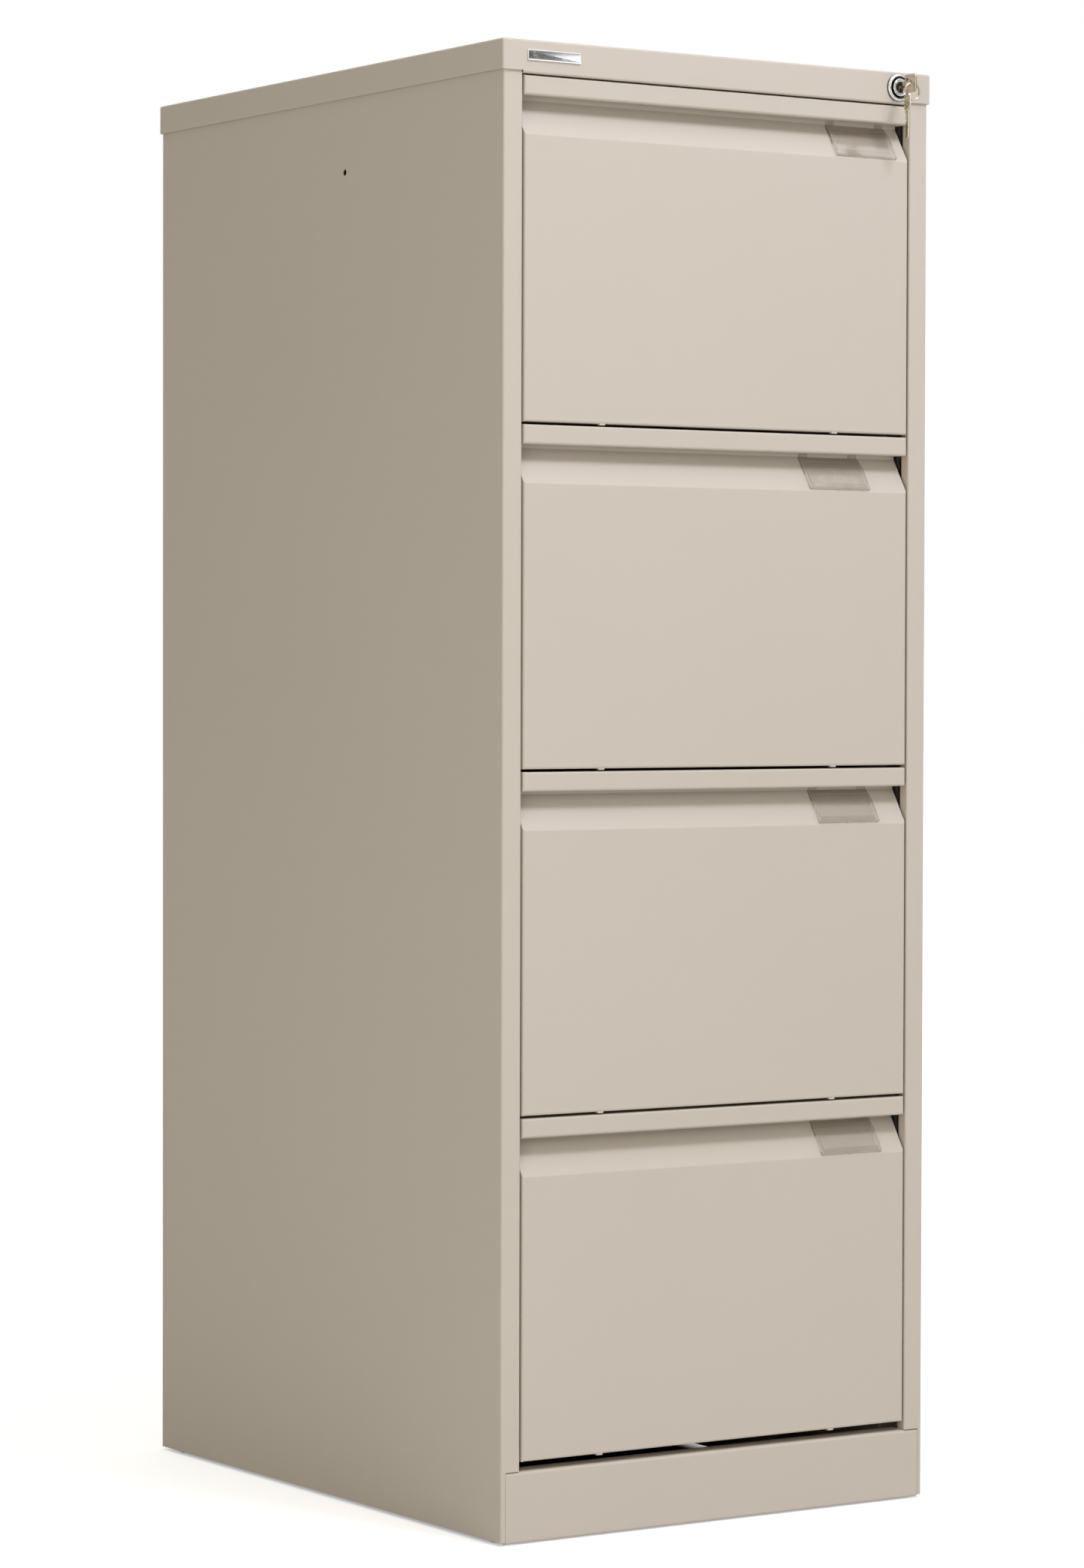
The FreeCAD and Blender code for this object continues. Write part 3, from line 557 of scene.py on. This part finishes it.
def rounded_rectangle(half_width, half_height, corner, steps=8):
    points = []
    corners = ((1, 1, 0), (-1, 1, 90), (-1, -1, 180), (1, -1, 270))
    for x, y, start in corners:
        for i in range(steps + 1):
            turn = math.radians(start + 90 * i / steps)
            points.append((
                x * (half_width - corner) + corner * math.cos(turn),
                y * (half_height - corner) + corner * math.sin(turn),
            ))
    return points


def circle(radius, centre=(0, 0), steps=48):
    return [
        (centre[0] + radius * math.cos(2 * math.pi * i / steps),
         centre[1] + radius * math.sin(2 * math.pi * i / steps))
        for i in range(steps)
    ]


def pressed(name, outlines, thickness, edge, turn):
    """Cut a flat outline, with its holes, from sheet with softened edges. turn takes it from its own XY plane."""
    curve = bpy.data.curves.new(name, "CURVE")
    curve.dimensions = "2D"
    curve.fill_mode = "BOTH"
    curve.extrude = thickness / 2 - edge
    curve.bevel_depth = edge
    curve.bevel_resolution = 1
    for outline in outlines:
        spline = curve.splines.new("POLY")
        spline.points.add(len(outline) - 1)
        for point, (x, y) in zip(spline.points, outline):
            point.co = (x, y, 0, 1)
        spline.use_cyclic_u = True
    source = bpy.data.objects.new(name, curve)
    bpy.context.scene.collection.objects.link(source)
    bpy.context.view_layer.update()
    flat = bpy.data.meshes.new_from_object(source.evaluated_get(bpy.context.evaluated_depsgraph_get()))
    bpy.data.objects.remove(source)
    bpy.data.curves.remove(curve)
    flat.transform(turn)
    return flat


def merged(name, *meshes):
    """One mesh of several, with doubled points joined."""
    form = bmesh.new()
    for mesh in meshes:
        form.from_mesh(mesh)
        bpy.data.meshes.remove(mesh)
    bmesh.ops.remove_doubles(form, verts=form.verts, dist=1e-6)
    bmesh.ops.recalc_face_normals(form, faces=form.faces)
    mesh = bpy.data.meshes.new(name)
    form.to_mesh(mesh)
    form.free()
    return mesh


def from_cells(form, breaks, filled, place):
    """Build the skin of the filled cells of a grid. place turns grid values into a point."""
    verts = {}
    counts = [len(values) - 1 for values in breaks]

    def vert(*index):
        if index not in verts:
            verts[index] = form.verts.new(place(*(values[i] for values, i in zip(breaks, index))))
        return verts[index]

    def is_filled(cell):
        if any(i < 0 or i >= count for i, count in zip(cell, counts)):
            return False
        return filled(*((values[i] + values[i + 1]) / 2 for values, i in zip(breaks, cell)))

    cells = [
        (i, j, k) for i in range(counts[0]) for j in range(counts[1]) for k in range(counts[2])
    ]
    for cell in filter(is_filled, cells):
        for axis in range(3):
            across, along = (axis + 1) % 3, (axis + 2) % 3
            for side in (0, 1):
                beside = list(cell)
                beside[axis] += 2 * side - 1
                if is_filled(beside):
                    continue
                corners = []
                for a, b in ((0, 0), (1, 0), (1, 1), (0, 1)):
                    corner = list(cell)
                    corner[axis] += side
                    corner[across] += a
                    corner[along] += b
                    corners.append(vert(*corner))
                form.faces.new(corners if side else corners[::-1])


def coat(name, material):
    """Put a finish on one CAD node."""
    materials = frame["nodes"][name].data.materials
    materials.clear()
    materials.append(material)


def dress(slot, material, skip=()):
    """Put a finish on every CAD node that the record gives this slot."""
    for part in frame["record"]["subparts"]:
        if part["material_slot"] == slot and part["node"] not in skip:
            coat(part["node"], material)


# Operators.

class CABINET_OT_paint(bpy.types.Operator):
    """Powder coat the shell and the drawers"""

    bl_idname = "cabinet.paint"
    bl_label = "Paint Shell and Drawers"

    def execute(self, context):
        fronts = [f"drawer_{drawer}_front" for drawer in DRAWERS]
        dress("cabinet_paint", powder_coat("Powder coat"), skip=fronts)
        handled = powder_coat("Powder coat with polished grips", handled=True)
        for name in fronts:
            coat(name, handled)
        return {"FINISHED"}


class CABINET_OT_plating(bpy.types.Operator):
    """Plate the slides, the locking gear and the nuts"""

    bl_idname = "cabinet.plating"
    bl_label = "Plate Slides and Lock Gear"

    def execute(self, context):
        dress("zinc_steel", zinc_plate("Zinc on rolled strip"))
        dress("bright_chrome", bright_chrome("Bright chrome on hidden lock parts"))
        for name in ("lock_bar", "foot_nuts"):
            coat(name, zinc_plate(f"Zinc on {name}", brushed=(1, 1, 30)))
        return {"FINISHED"}


class CABINET_OT_label_holders(bpy.types.Operator):
    """Clip a clear label holder into each drawer's finger recess"""

    bl_idname = "cabinet.label_holders"
    bl_label = "Clear Label Holders"

    def execute(self, context):
        plastic = clear_plastic("Clear moulded plastic")
        for drawer in DRAWERS:
            node = f"drawer_{drawer}_label_holder"
            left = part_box(node)[0].x
            mesh = mesh_of(f"holder_{drawer}", lambda form: self.mould(context, form, left, GRIP_TOPS[drawer]))
            shaped(f"drawer_{drawer}_clear_holder", mesh, plastic, f"drawer_{drawer}",
                   replaces=[node], bevel=0.25 * MM, angle=40)
        return {"FINISHED"}

    def mould(self, context, form, left, top):
        """Back sheet that follows the recess, end ribs, label lip, ridge, gate mark and two hooks."""
        holder = context.scene.cabinet_holder
        slope = math.hypot(RECESS, KINK - WALL_BOTTOM)
        tilt = math.atan2(KINK - WALL_BOTTOM, RECESS)
        turn_radius = 2.4 * MM
        hook = 3.1 * MM
        taper, ridge, ribs_end = 0.55 * slope, 0.8 * slope, 0.86 * slope
        turn = math.pi / 2 - tilt
        start = slope - turn_radius * math.tan(turn / 2)
        arc = turn_radius * turn
        end = start + arc + (hook - turn_radius * math.tan(turn / 2))

        def place(x, along, out):
            clear = out + RUNNING_FIT
            thick = holder.sheet
            if out > thick:
                fade = smooth(taper, ribs_end, along)
                clear = RUNNING_FIT + thick + (out - thick) * (1 - 0.62 * fade)
            if along <= start:
                base = (along * math.cos(tilt), -KINK + along * math.sin(tilt))
                angle = tilt
            else:
                corner = min(along - start, arc) / turn_radius
                angle = tilt + corner
                knee = (start * math.cos(tilt), -KINK + start * math.sin(tilt))
                centre = (knee[0] - turn_radius * math.sin(tilt), knee[1] + turn_radius * math.cos(tilt))
                base = (centre[0] + turn_radius * math.sin(angle), centre[1] - turn_radius * math.cos(angle))
                base = (base[0], base[1] + max(0, along - start - arc))
            return (
                left + x,
                FRONT_FACE + base[0] - clear * math.sin(angle),
                top + base[1] + clear * math.cos(angle),
            )

        width, rib, lip = holder.width, holder.rib_width, holder.lip
        foot = 1.3 * MM
        sill = foot + 1.1 * MM
        rib_step = holder.rib - 0.3 * MM
        gate = (width * 0.46, width * 0.46 + 1.8 * MM)
        hooks = ((1.5 * MM, 10.5 * MM), (width - 10.5 * MM, width - 1.5 * MM))
        xs = sorted({0, rib, *gate, *hooks[0], *hooks[1], width - rib, width, width / 4, width * 3 / 4})
        alongs = sorted({
            foot - 0.5 * MM, foot, sill, foot + lip, 12 * MM, 16 * MM, taper,
            0.63 * slope, 0.7 * slope, 0.78 * slope, ridge, ribs_end, start,
            *(start + arc * i / 5 for i in range(1, 6)), end,
        })
        outs = (0, holder.sheet, 0.5 * (holder.sheet + holder.rib), rib_step, holder.rib)

        def filled(x, along, out):
            if along < foot:
                return gate[0] < x < gate[1] and out < rib_step
            if along > start:
                return out < holder.sheet and any(low < x < high for low, high in hooks)
            if out < holder.sheet:
                return True
            if x < rib or x > width - rib:
                return along < ribs_end and (out < rib_step or along > foot + lip)
            if along < sill:
                return out < rib_step
            if along < foot + lip:
                return outs[2] < out < rib_step
            return ridge < along < ribs_end and out < outs[2]

        from_cells(form, (xs, alongs, outs), filled, place)


def smooth(low, high, value):
    share_done = min(1, max(0, (value - low) / (high - low)))
    return share_done * share_done * (3 - 2 * share_done)


class CABINET_OT_lock(bpy.types.Operator):
    """Fit the bright rose and barrel, and the slotted plug that turns in it"""

    bl_idname = "cabinet.lock"
    bl_label = "Cylinder Lock"

    def execute(self, context):
        lock = context.scene.cabinet_lock
        bore = lock.plug + RUNNING_FIT
        barrel, barrel_end = 9.4 * MM, 21.9
        rim = lock.rose
        groove = (bore + 1.6 * MM, rim - 2.5 * MM)
        foot = (rim - 0.35 * MM, rim + 1 * MM)
        # Painted shade: the groove in the rose's face and the rose's foot against the cover are darkened almost to
        # black.
        chrome = bright_chrome("Bright chrome", dark_rings=(groove, foot))

        def place(u, v, along):
            return (LOCK_CENTRE.x + u, FRONT_FACE + along, LOCK_CENTRE.z + v)

        profile = [
            (rim - 0.1 * MM, -2.0), (rim, -2.4), (rim - 0.05 * MM, -2.9), (rim - 0.35 * MM, -3.6),
            (rim - 0.85 * MM, -4.2), (rim - 1.6 * MM, -4.75), (rim - 2.4 * MM, -5.0), (rim - 2.75 * MM, -4.9),
            (rim - 2.95 * MM, -4.4), (rim - 3.1 * MM, -3.7), (bore + 2.2 * MM, -3.5), (bore + 1.85 * MM, -3.8),
            (bore + 1.75 * MM, -4.6), (bore + 1.65 * MM, -5.8), (bore + 1.4 * MM, -6.3), (bore + 1.0 * MM, -6.5),
            (bore + 0.55 * MM, -6.35), (bore + 0.2 * MM, -5.9), (bore, -5.4), (bore, barrel_end),
            (barrel, barrel_end), (barrel, -2.0),
        ]
        mesh = mesh_of("rose", lambda form: lathe(
            form, [(radius, along * MM) for radius, along in profile], place))
        shaped("lock_rose", mesh, chrome, "carcass", replaces=["lock_housing"], angle=50)

        plug_length, plug_middle, plug_edge = 29 * MM, 8.2 * MM, 0.25 * MM
        # A ring on the plug's face, with the keyway walls inside it, is darkened almost to black.
        plug_dark_ring = (1.5 * MM, 5.4 * MM)
        upright = Matrix.Translation((LOCK_CENTRE.x, FRONT_FACE + plug_middle, LOCK_CENTRE.z)) @ Matrix.Rotation(
            math.radians(90), 4, "X")
        keyway = rounded_rectangle(lock.keyway_width / 2, lock.keyway_height / 2, 0.5 * MM, 4)
        outlines = [circle(lock.plug - plug_edge, steps=72), keyway]
        face = pressed("plug_face", outlines, plug_length, plug_edge, upright)
        plug_chrome = bright_chrome("Chrome on the plug", satin=0.06, dark_rings=(plug_dark_ring,))
        shaped("lock_plug_slotted", merged("plug", face), plug_chrome, "lock_plug",
               replaces=["lock_plug"])
        return {"FINISHED"}


def key_outline(bow, corner, lift, bow_start, tip, half_blade):
    """Outline of a flat key. Its length runs along +x from the eye, and y is across it."""
    half = bow / 2
    bow_end = bow_start + bow
    outline = []

    def arc(x, y, start, end):
        for i in range(9):
            turn = math.radians(start + (end - start) * i / 8)
            outline.append((x + corner * math.cos(turn), y + corner * math.sin(turn)))

    arc(bow_start + corner, lift + half - corner, 180, 90)
    arc(bow_end - corner, lift + half - corner, 90, 0)
    shoulder = bow_end + 2.2 * MM
    half_neck = half_blade + 1.1 * MM
    outline += [(bow_end, half_neck), (shoulder, half_neck), (shoulder, half_blade)]
    cuts = (0.9, 1.9, 1.2, 2.2, 1.5)
    step = (tip - 3 * MM - shoulder - 2 * MM) / len(cuts)
    for i, depth in enumerate(cuts):
        begin = shoulder + 2 * MM + i * step
        outline += [
            (begin, half_blade), (begin + 0.3 * step, half_blade - depth * MM),
            (begin + 0.62 * step, half_blade - depth * MM), (begin + 0.92 * step, half_blade),
        ]
    outline += [(tip - 2.4 * MM, half_blade), (tip, 0.8 * MM), (tip, -0.8 * MM), (tip - 2 * MM, -half_blade)]
    outline += [(shoulder, -half_blade), (shoulder, -half_neck), (bow_end, -half_neck)]
    arc(bow_end - corner, lift - half + corner, 0, -90)
    arc(bow_start + corner, lift - half + corner, -90, -180)
    return outline


class CABINET_OT_keys(bpy.types.Operator):
    """Put a key in the plug, with a spare hanging from a split ring"""

    bl_idname = "cabinet.keys"
    bl_label = "Keys and Split Ring"

    def execute(self, context):
        keys = context.scene.cabinet_keys
        metal = worn_nickel("Worn nickel")
        along_depth = Matrix(((0, 0, 1, 0), (1, 0, 0, 0), (0, 1, 0, 0), (0, 0, 0, 1)))
        in_lock = Matrix.Translation((KEY_EYE.x, KEY_EYE.y, LOCK_CENTRE.z)) @ along_depth
        rise = KEY_EYE.z - LOCK_CENTRE.z
        self.make(
            keys, "key_in_lock", metal, "key", in_lock, bow=keys.bow, lift=rise - 0.2 * MM,
            bow_start=-5.9 * MM, tip=38.9 * MM, half_blade=3.7 * MM, eye=(0, rise), eye_radius=2.2 * MM,
        )

        hanging = Matrix(((0, 0, 1, 0), (0, 1, 0, 0), (-1, 0, 0, 0), (0, 0, 0, 1)))
        spare = Matrix.Translation(SPARE_EYE) @ Matrix.Rotation(math.radians(-20), 4, "Z") @ hanging
        self.make(
            keys, "spare_key_on_ring", metal, "spare_key", spare, bow=keys.spare_bow, lift=0,
            bow_start=-3.5 * MM, tip=38 * MM, half_blade=3.3 * MM, eye=(0, 0), eye_radius=2.4 * MM,
        )
        self.ring(keys, metal)
        return {"FINISHED"}

    def make(self, keys, name, metal, node, turn, *, bow, lift, bow_start, tip, half_blade, eye, eye_radius):
        """A blank with an eye, a raised border round its bow and a boss round the eye."""
        corner = keys.bow_corner
        hole = circle(eye_radius, eye, 32)
        outline = key_outline(bow, corner, lift, bow_start, tip, half_blade)
        blank = pressed(name + "_blank", [outline, hole], keys.thickness - 0.5 * MM, 0.15 * MM, turn)
        border = [
            [(x + bow_start + bow / 2, y + lift)
             for x, y in rounded_rectangle(bow / 2 - inset, bow / 2 - inset, corner - 0.8 * inset)]
            for inset in (0.4 * MM, 1.6 * MM)
        ]
        rim = pressed(name + "_border", border, keys.thickness, 0.2 * MM, turn)
        boss_ring = [circle(eye_radius + 0.9 * MM, eye, 40), hole]
        boss = pressed(name + "_boss", boss_ring, keys.thickness, 0.15 * MM, turn)
        shaped(name, merged(name, blank, rim, boss), metal, node, replaces=[node], angle=30)

    def ring(self, keys, metal):
        """Split ring: the wire goes round twice, side by side, and its ends are cut square."""
        turns, steps, sides, steps_cut_off = 2, 64, 10, 3
        first_end = math.radians(250)
        pitch = 2.1 * keys.wire
        loops = []
        for i in range(turns * steps - steps_cut_off):
            turn = 2 * math.pi * i / steps + first_end
            shift = pitch * smooth(0.86, 1.0, (i / steps) % 1) + pitch * (i // steps) - pitch / 2
            outward = Vector((math.cos(turn), 0, math.sin(turn)))
            centre = RING_CENTRE + outward * RING_RADIUS + Vector((0, shift, 0))
            loops.append([
                centre + outward * (keys.wire * math.cos(2 * math.pi * j / sides))
                + Vector((0, keys.wire * math.sin(2 * math.pi * j / sides), 0))
                for j in range(sides)
            ])
        mesh = mesh_of("ring", lambda form: lofted(form, loops))
        shaped("split_ring", mesh, metal, "key_ring", replaces=["key_ring"], angle=50)


class CABINET_OT_rivets(bpy.types.Operator):
    """Rivet the slides to the trays"""

    bl_idname = "cabinet.rivets"
    bl_label = "Rivets"

    def execute(self, context):
        fixings = context.scene.cabinet_fixings
        metal = zinc_plate("Zinc on fixings", brushed=(1, 1, 1))
        for drawer in DRAWERS:
            low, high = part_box(f"drawer_{drawer}_slide_inner")
            height = (low.z + high.z) / 2
            reach = high.y - low.y
            places = [
                (side, Vector((side * (TRAY_HALF - fixings.sheet), low.y + part * reach, height)))
                for side in (-1, 1) for part in (0.06, 0.34, 0.64, 0.94)
            ]
            mesh = mesh_of(f"rivets_{drawer}", lambda form: [
                self.dome(form, place, -side, fixings.rivet, fixings.rivet_rise) for side, place in places
            ])
            shaped(f"drawer_{drawer}_rivets", mesh, metal, f"drawer_{drawer}", angle=60)
        return {"FINISHED"}

    def dome(self, form, place, way, radius, rise):
        """Domed head standing on a wall that faces along x."""
        loops = []
        for out, width in ((-0.1, 1.0), (0.1, 1.0), (0.45, 0.93), (0.75, 0.76), (0.93, 0.5), (1.0, 0.2)):
            loops.append([
                place + Vector((way * out * rise, u, v)) for u, v in circle(radius * width, steps=28)
            ])
        lofted(form, loops)


class CABINET_OT_badge(bpy.types.Operator):
    """Fix a plain bright plate to the cover's rim"""

    bl_idname = "cabinet.badge"
    bl_label = "Plain Badge"

    def execute(self, context):
        badge = context.scene.cabinet_badge
        low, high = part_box("name_badge")
        centre = (low + high) / 2
        half_width, half_height = (high.x - low.x) / 2, (high.z - low.z) / 2
        border = badge.border
        steps = (
            (0, 0.0), (0, 0.75), (0.1 * MM, 1.1), (0.35 * MM, 1.45), (border * 0.5, 1.55),
            (border - 0.2 * MM, 1.4), (border, 1.05), (border + 0.15 * MM, 0.85), (border + 0.5 * MM, 0.8),
        )
        loops = []
        for inset, rise in steps:
            corner = max(0.2 * MM, badge.corner - inset)
            outline = rounded_rectangle(half_width - inset, half_height - inset, corner, 6)
            loops.append([(centre.x + x, high.y - rise * MM, centre.z + y) for x, y in outline])
        mesh = mesh_of("badge", lambda form: lofted(form, loops))
        shaped("plain_badge", mesh, bright_chrome("Satin chrome", satin=0.05), "carcass",
               replaces=["name_badge"], angle=40)
        return {"FINISHED"}


class CABINET_OT_feet(bpy.types.Operator):
    """Mould four levelling feet with gripped rims and threaded studs"""

    bl_idname = "cabinet.feet"
    bl_label = "Levelling Feet"

    def execute(self, context):
        low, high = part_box("levelling_feet")
        radius = 11 * MM
        mesh = mesh_of("feet", lambda form: [
            self.foot(context.scene.cabinet_feet, form, x, y, high.z)
            for x in (low.x + radius, high.x - radius) for y in (low.y + radius, high.y - radius)
        ])
        shaped("threaded_feet", mesh, black_plastic("Black moulded plastic"), "carcass",
               replaces=["levelling_feet"], angle=40)
        return {"FINISHED"}

    def foot(self, feet, form, x, y, top):
        """A foot from the floor up to the top of its stud. Its profile is in millimetres."""
        segments = feet.grips * 6
        point, rim, root, crest = 0.0001, 10.9, 3.4, 4.0
        profile = [
            (point, 0), (9.6, 0), (10.4, 0.5), (rim, 1.2), (rim, 4.6), (10.4, 5.5), (9.4, 6), (5.2, 6),
            (4.9, 7.2),
        ]
        pitch = feet.thread / MM
        height = 7.6
        while height + pitch < top / MM - 0.8:
            profile += [(root, height), (crest, height + pitch * 0.5)]
            height += pitch
        profile += [(root, height), (3.0, top / MM), (point, top / MM)]
        loops = []
        for radius, z in profile:
            loop = []
            for i in range(segments):
                turn = 2 * math.pi * i / segments
                grip = 0.45 * max(0, math.cos(feet.grips * turn)) if radius == rim else 0
                reach = (radius - grip) * MM
                loop.append((x + reach * math.cos(turn), y + reach * math.sin(turn), z * MM))
            loops.append(loop)
        lofted(form, loops)


class CABINET_OT_studio(bpy.types.Operator):
    """Set out the floor, the soft lamps and the camera"""

    bl_idname = "cabinet.studio"
    bl_label = "Studio"

    def execute(self, context):
        studio = context.scene.cabinet_studio
        self.floor()
        self.world(studio)
        target = Vector((0, 0, 0.75))
        self.softbox("High softbox", studio.key_watts, place=(0.4, -2.0, 3.15),
                     target=target + Vector((0, 0, 0.3)), width=0.7, height=0.7, tint=(0.925, 0.98, 1.16))
        self.softbox("Front softbox", studio.front_watts, place=(0.9, -4.2, 1.5), target=target,
                     width=2.0, height=2.0, tint=(0.97, 0.985, 1.02))
        self.softbox("Side softbox", studio.side_watts, place=(-2.1, -1.9, 1.1), target=Vector((-0.2, -0.2, 0.7)),
                     width=1.0, height=1.6, tint=(1.0, 0.975, 0.90))
        sun = bpy.data.lights.new("Top light", "SUN")
        sun.energy = studio.top_sun
        sun.angle = math.radians(70)
        lamp = bpy.data.objects.new("Top light", sun)
        lamp.rotation_euler = (math.radians(6), math.radians(5), 0)
        context.scene.collection.objects.link(lamp)
        self.camera(studio)
        context.scene.view_settings.view_transform = "Standard"
        return {"FINISHED"}

    def floor(self):
        def build(form):
            steps, reach = 24, 30
            grid = [[form.verts.new((reach * (2 * i / steps - 1), reach * (2 * j / steps - 1), 0))
                     for i in range(steps + 1)] for j in range(steps + 1)]
            for j in range(steps):
                for i in range(steps):
                    form.faces.new((grid[j][i], grid[j][i + 1], grid[j + 1][i + 1], grid[j + 1][i]))

        floor = bpy.data.objects.new("studio_floor", mesh_of("studio_floor", build))
        floor.data.materials.append(floor_finish("Studio floor"))
        bpy.context.scene.collection.objects.link(floor)

    def world(self, studio):
        """A white backdrop. Shiny parts see it dark near the horizon, as in a black-walled studio."""
        sky = Finish("Studio world", "worlds")
        tint = (1.0, 0.975, 0.9, 1)
        horizon_shine = 0.04
        light = sky.node("Background", None, {"Color": tint, "Strength": studio.ambient})
        horizon = sky.node("Background", None, {"Color": tint, "Strength": horizon_shine})
        ceiling = sky.node(
            "Background", None, {"Color": tint, "Strength": horizon_shine + studio.overhead_shine}
        )
        overhead = sky.part_of_place("Z").ramp(0.02, 0.5)
        shine = sky.node("MixShader", None, {0: overhead, 1: horizon, 2: ceiling})
        backdrop = sky.node("Background", None, {"Color": (1, 1, 1, 1), "Strength": 1})
        lit = sky.node("MixShader", None, {0: sky.node("LightPath", output="Is Glossy Ray"), 1: light, 2: shine})
        seen = sky.node("MixShader", None, {0: sky.node("LightPath", output="Is Camera Ray"), 1: lit, 2: backdrop})
        bpy.context.scene.world = sky.done(seen, "OutputWorld")

    def softbox(self, name, watts, place, target, width, height, tint):
        light = bpy.data.lights.new(name, "AREA")
        light.shape = "RECTANGLE"
        light.size = width
        light.size_y = height
        light.energy = watts
        light.color = tint
        lamp = bpy.data.objects.new(name, light)
        lamp.location = place
        lamp.rotation_euler = (target - Vector(place)).to_track_quat("-Z", "Y").to_euler()
        bpy.context.scene.collection.objects.link(lamp)

    def camera(self, studio):
        place = (-2.4722, -3.7710, 0.7743)
        yaw, pitch, roll = (math.radians(angle) for angle in (33.268, -1.4376, 0.1354))
        forward = Vector((math.sin(yaw) * math.cos(pitch), math.cos(yaw) * math.cos(pitch), math.sin(pitch)))
        right = Vector((math.cos(yaw), -math.sin(yaw), 0))
        up = right.cross(forward)
        across = math.cos(roll) * right + math.sin(roll) * up
        upward = -math.sin(roll) * right + math.cos(roll) * up
        turned = Matrix((across, upward, -forward)).transposed().to_4x4()
        lens = bpy.data.cameras.new("Camera")
        lens.sensor_fit = "VERTICAL"
        lens.sensor_height = 36
        lens.lens = studio.lens
        camera = bpy.data.objects.new("Camera", lens)
        camera.matrix_world = Matrix.Translation(place) @ turned
        bpy.context.scene.collection.objects.link(camera)
        bpy.context.scene.camera = camera


OPERATORS = (
    CABINET_OT_paint,
    CABINET_OT_plating,
    CABINET_OT_label_holders,
    CABINET_OT_lock,
    CABINET_OT_keys,
    CABINET_OT_rivets,
    CABINET_OT_badge,
    CABINET_OT_feet,
    CABINET_OT_studio,
)


class CABINET_PT_finishes(bpy.types.Panel):
    """Lists the cabinet's pieces"""

    bl_label = "Filing Cabinet"
    bl_idname = "CABINET_PT_finishes"
    bl_space_type = "VIEW_3D"
    bl_region_type = "UI"
    bl_category = "Cabinet"

    def draw(self, context):
        for operator in OPERATORS:
            self.layout.operator(operator.bl_idname)


def register():
    for group in SETTINGS.values():
        bpy.utils.register_class(group)
    for name, group in SETTINGS.items():
        setattr(bpy.types.Scene, name, PointerProperty(type=group))
    for operator in OPERATORS:
        bpy.utils.register_class(operator)
    bpy.utils.register_class(CABINET_PT_finishes)


def unregister():
    bpy.utils.unregister_class(CABINET_PT_finishes)
    for operator in reversed(OPERATORS):
        bpy.utils.unregister_class(operator)
    for name, group in SETTINGS.items():
        delattr(bpy.types.Scene, name)
        bpy.utils.unregister_class(group)


def main():
    register()
    for operator in OPERATORS:
        group, name = operator.bl_idname.split(".")
        getattr(getattr(bpy.ops, group), name)()


if __name__ == "__main__":
    main()
